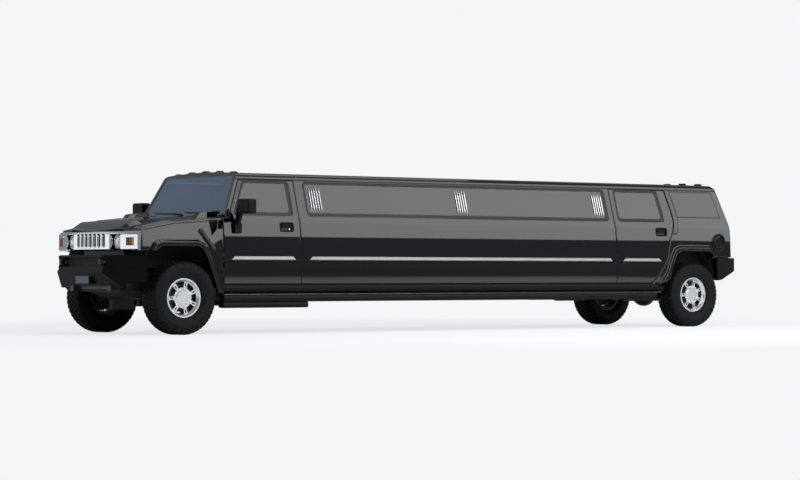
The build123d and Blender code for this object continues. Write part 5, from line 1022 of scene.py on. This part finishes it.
# Cabin front: one vinyl-skinned dashboard with two gauges, a blank centre panel and four air vents of
# four vanes; the steering wheel's rim is wrapped in leather over its steel ring.
PANEL_X, GAUGE_Z = 3.204, 1.248
WHEEL_HUB, WHEEL_AXIS = Vector((3.104, 0.4, 1.215)), Vector((1, 0, -0.45))
WHEEL_RING, WRAP = 0.185, 0.0152
VENT_PLACES = (0.72, 0.14, -0.14, -0.72)
vinyl = finish_of("grained_dashboard_vinyl", {"Base Color": "#17171A", "Roughness": 0.58}, bump=(3, 0.3),
                  mottle=(220, "#1E1E21", 0.6))
hide = finish_of("stitched_black_leather", {"Base Color": "#191716", "Roughness": 0.44,
                                            "Specular IOR Level": 0.4},
                 bump=(4, 0.4), mottle=(140, "#25211F", 0.6))
dress(vinyl, "dashboard")
frame_of = WHEEL_AXIS.normalized().to_track_quat("Z", "Y").to_matrix()
points = []
for k in range(64):
    a = 2 * math.pi * k / 64
    for j in range(12):
        b = 2 * math.pi * j / 12
        reach = WHEEL_RING + WRAP * math.cos(b)
        points.append(WHEEL_HUB + frame_of @ Vector((reach * math.cos(a), reach * math.sin(a),
                                                     WRAP * math.sin(b))))
new_piece("steering_wheel_wrap", points, loops_to_faces(64, 12), hide, "body", smooth=True)
gauge = [(0.0, -0.004), (0.056, -0.004), (0.056, 0.012), (0.052, 0.016), (0.048, 0.012), (0.047, 0.004),
         (0.0, 0.004)]
for i, y in enumerate((0.475, 0.325)):
    turned(f"gauge_{i + 1}", gauge, (PANEL_X, y, GAUGE_Z), (-1, 0, 0), rubber, "body",
           steps=36)


def face_plate(name, y, z, half_y, half_z, levels, material):
    """Plate on the dashboard's face; the levels are (how far out, how far the outline is drawn in)."""
    loops = [[(PANEL_X - out, y + v, z + w) for v, w in window_ring(
        [(half_y, -half_z), (-half_y, -half_z), (-half_y, half_z), (half_y, half_z)], inset, 0.012)]
        for out, inset in levels]
    return plate_stack(name, loops, material, "body")


face_plate("centre_panel", 0.0, 1.180, 0.105, 0.026, ((-0.012, 0.0), (0.004, 0.0), (0.006, 0.003)), rubber)
for i, y in enumerate(VENT_PLACES):
    face_plate(f"air_vent_{i + 1}", y, 1.275, 0.062, 0.034, ((-0.012, 0.0), (0.003, 0.0), (0.005, 0.002)),
               rubber)
    for k in range(4):
        face_plate(f"vent_vane_{i + 1}_{k + 1}", y, 1.254 + 0.014 * k, 0.050, 0.004,
                   ((0.004, 0.0), (0.012, 0.001)), vinyl)

# Seats: foam cushions in black leather on moulded plinths - two seats in front, eight places along the left
# side and two across the rear. Each cover is stretched over its foam, which crowns the faces and draws the
# sides in between the corners; it has sewn flutes and a piped seam round its face.
# Pad: width, depth, thickness, flutes across the width
PADS = {"front_cushion": (0.510, 0.460, 0.150, 5), "front_back": (0.500, 0.440, 0.112, 5),
        "side_cushion": (0.560, 0.412, 0.128, 4), "side_back": (0.560, 0.255, 0.082, 4),
        "rear_cushion": (0.595, 0.460, 0.150, 5), "rear_back": (0.595, 0.440, 0.112, 5)}
FOAM_CELL, START_IN, SWELL_CAP = 0.020, 0.012, 0.016
FLUTE_DEPTH, FLUTE_WIDTH = 0.006, 0.011
PIPE_RADIUS, PIPE_STATIONS, PIPE_SIDES = 0.0042, 64, 6
BACK_LEAN = Vector((0.979, 0, 0.205))


def applied(piece):
    """The piece's mesh with its modifiers in it."""
    bpy.context.view_layer.update()
    return bpy.data.meshes.new_from_object(piece.evaluated_get(bpy.context.evaluated_depsgraph_get()))


def foam(name, width, depth, thick):
    """Blank of foam about its middle, a little smaller than the finished pad."""
    mesh = bpy.data.meshes.new(name)
    work = bmesh.new()
    bmesh.ops.create_cube(work, size=1.0)
    bmesh.ops.scale(work, vec=(width - START_IN, depth - START_IN, thick - START_IN), verts=work.verts)
    bmesh.ops.bevel(work, geom=work.edges[:], offset=0.024, segments=3, affect="EDGES", profile=0.5)
    work.to_mesh(mesh)
    work.free()
    blank = bpy.data.objects.new(name, mesh)
    bpy.context.scene.collection.objects.link(blank)
    cells = blank.modifiers.new("cells", "REMESH")
    cells.mode, cells.voxel_size = "VOXEL", FOAM_CELL
    fine = applied(blank)
    blank.modifiers.clear()
    blank.data = fine
    return blank


def swell(blanks):
    """Blows each blank up as a sewn cover is by its foam, and cuts every point's move at SWELL_CAP."""
    for blank in blanks:
        cover = blank.modifiers.new("cover", "CLOTH")
        cover.settings.use_pressure = True
        cover.settings.uniform_pressure_force = 4.0
        cover.settings.effector_weights.gravity = 0.0
    for step in range(1, 21):
        bpy.context.scene.frame_set(step)
    for blank in blanks:
        blown = applied(blank)
        blank.modifiers.clear()
        for start, end in zip(blank.data.vertices, blown.vertices):
            move = end.co - start.co
            start.co += move * min(1.0, SWELL_CAP / max(move.length, 1e-9))
        bpy.data.meshes.remove(blown)
    bpy.context.scene.frame_set(1)


def finish_pad(blank, width, depth, thick, flutes):
    """Points and faces of the finished pad: smoothed, fluted on its face and piped round it."""
    blank.modifiers.new("smooth", "SUBSURF").levels = 1
    mesh = applied(blank)
    lines = [width * ((i + 1) / flutes - 0.5) for i in range(flutes - 1)]
    for vertex in mesh.vertices:
        up = max(0.0, vertex.normal.z)
        fade = min(1.0, max(0.0, (depth / 2 - 0.035 - abs(vertex.co.y)) / 0.03))
        sunk = sum(math.exp(-((vertex.co.x - line) / FLUTE_WIDTH) ** 2) for line in lines)
        vertex.co.z -= FLUTE_DEPTH * sunk * up ** 2 * fade
    points = [v.co.copy() for v in mesh.vertices]
    faces = [tuple(p.vertices) for p in mesh.polygons]
    tree, seam, path = BVHTree.FromPolygons(points, faces), thick * 0.26, []
    for k in range(PIPE_STATIONS):
        a = 2 * math.pi * k / PIPE_STATIONS
        c, s = math.cos(a), math.sin(a)
        away = Vector((math.copysign(abs(c) ** 0.4, c) * width, math.copysign(abs(s) ** 0.4, s) * depth, 0))
        hit = tree.ray_cast(away + Vector((0, 0, seam)), -away.normalized())[0]
        path.append((hit, away.normalized()))
    start = len(points)
    for hit, out in path:
        for j in range(PIPE_SIDES):
            b = 2 * math.pi * j / PIPE_SIDES
            points.append(hit + out * PIPE_RADIUS * math.cos(b) + Vector((0, 0, PIPE_RADIUS * math.sin(b))))
    faces += [tuple(v + start for v in f) for f in loops_to_faces(PIPE_STATIONS, PIPE_SIDES)]
    bpy.data.meshes.remove(mesh)
    return points, faces


def place_pad(name, pad, middle, across, up):
    """Sets a copy of a pad at its middle, its width along across and its face along up."""
    across, up = Vector(across), Vector(up).normalized()
    along = up.cross(across)
    spots = [Vector(middle) + across * p.x + along * p.y + up * p.z for p in pad[0]]
    piece = new_piece(name, spots, pad[1], hide, "body", smooth=True)
    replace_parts(piece, "seats")


def plinth(name, profile, at, along):
    """Moulded base of a constant section: along x if along is 0, along y if it is 1."""
    loops = [[(end, u, z) if along == 0 else (u, end, z) for u, z in profile] for end in at]
    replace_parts(plate_stack(name, loops, vinyl, "body"), "seats")


blanks = {name: foam(f"foam_{name}", *size[:3]) for name, size in PADS.items()}
swell(blanks.values())
pads = {name: finish_pad(blanks[name], *PADS[name]) for name in PADS}
for blank in blanks.values():
    bpy.data.objects.remove(blank)
# Middles of a seat's cushion and backrest: forward of where the seat's back ends, and above its floor
CUSHION_AT, BACKREST_AT = (0.325, 0.304), (0.0505, 0.578)
CUSHION_LEAN = (-0.035, 0, 1)
# Seat: pads, where its back ends, its floor, half its width, and the middles of its places
for kind, back_x, floor, half, places in (("front", 2.5015, 0.6003, 0.250, (0.4, -0.4)),
                                          ("rear", -4.3445, 0.8003, 0.298, (0.3, -0.3))):
    for i, y in enumerate(places):
        place_pad(f"{kind}_cushion_{i + 1}", pads[f"{kind}_cushion"],
                  (back_x + CUSHION_AT[0], y, floor + CUSHION_AT[1]), (0, 1, 0), CUSHION_LEAN)
        place_pad(f"{kind}_backrest_{i + 1}", pads[f"{kind}_back"],
                  (back_x + BACKREST_AT[0], y, floor + BACKREST_AT[1]), (0, 1, 0), BACK_LEAN)
        shell = [(back_x, floor + 0.002), (back_x - 0.058, floor + 0.780), (back_x - 0.050, floor + 0.780),
                 (back_x + 0.030, floor + 0.350), (back_x + 0.080, floor + 0.228),
                 (back_x + 0.545, floor + 0.228), (back_x + 0.545, floor + 0.002)]
        plinth(f"{kind}_plinth_{i + 1}", shell, (y - half, y + half), 1)
BENCH_X, BENCH_PLACES = (-2.5015, 2.0215), 8
pitch = (BENCH_X[1] - BENCH_X[0]) / BENCH_PLACES
for i in range(BENCH_PLACES):
    x = BENCH_X[0] + pitch * (i + 0.5)
    place_pad(f"side_cushion_{i + 1}", pads["side_cushion"], (x, 0.525, 0.954), (1, 0, 0), (0, 0, 1))
    place_pad(f"side_backrest_{i + 1}", pads["side_back"], (x, 0.8045, 1.134), (1, 0, 0),
              (0, -0.9753, 0.2208))
BENCH_PROFILE = [(0.330, 0.602), (0.330, 0.889), (0.745, 0.889), (0.824, 1.000), (0.872, 1.235),
                 (0.876, 1.235), (0.876, 0.602)]
plinth("side_plinth", BENCH_PROFILE, (BENCH_X[0] + 0.002, BENCH_X[1] - 0.002), 0)
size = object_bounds()
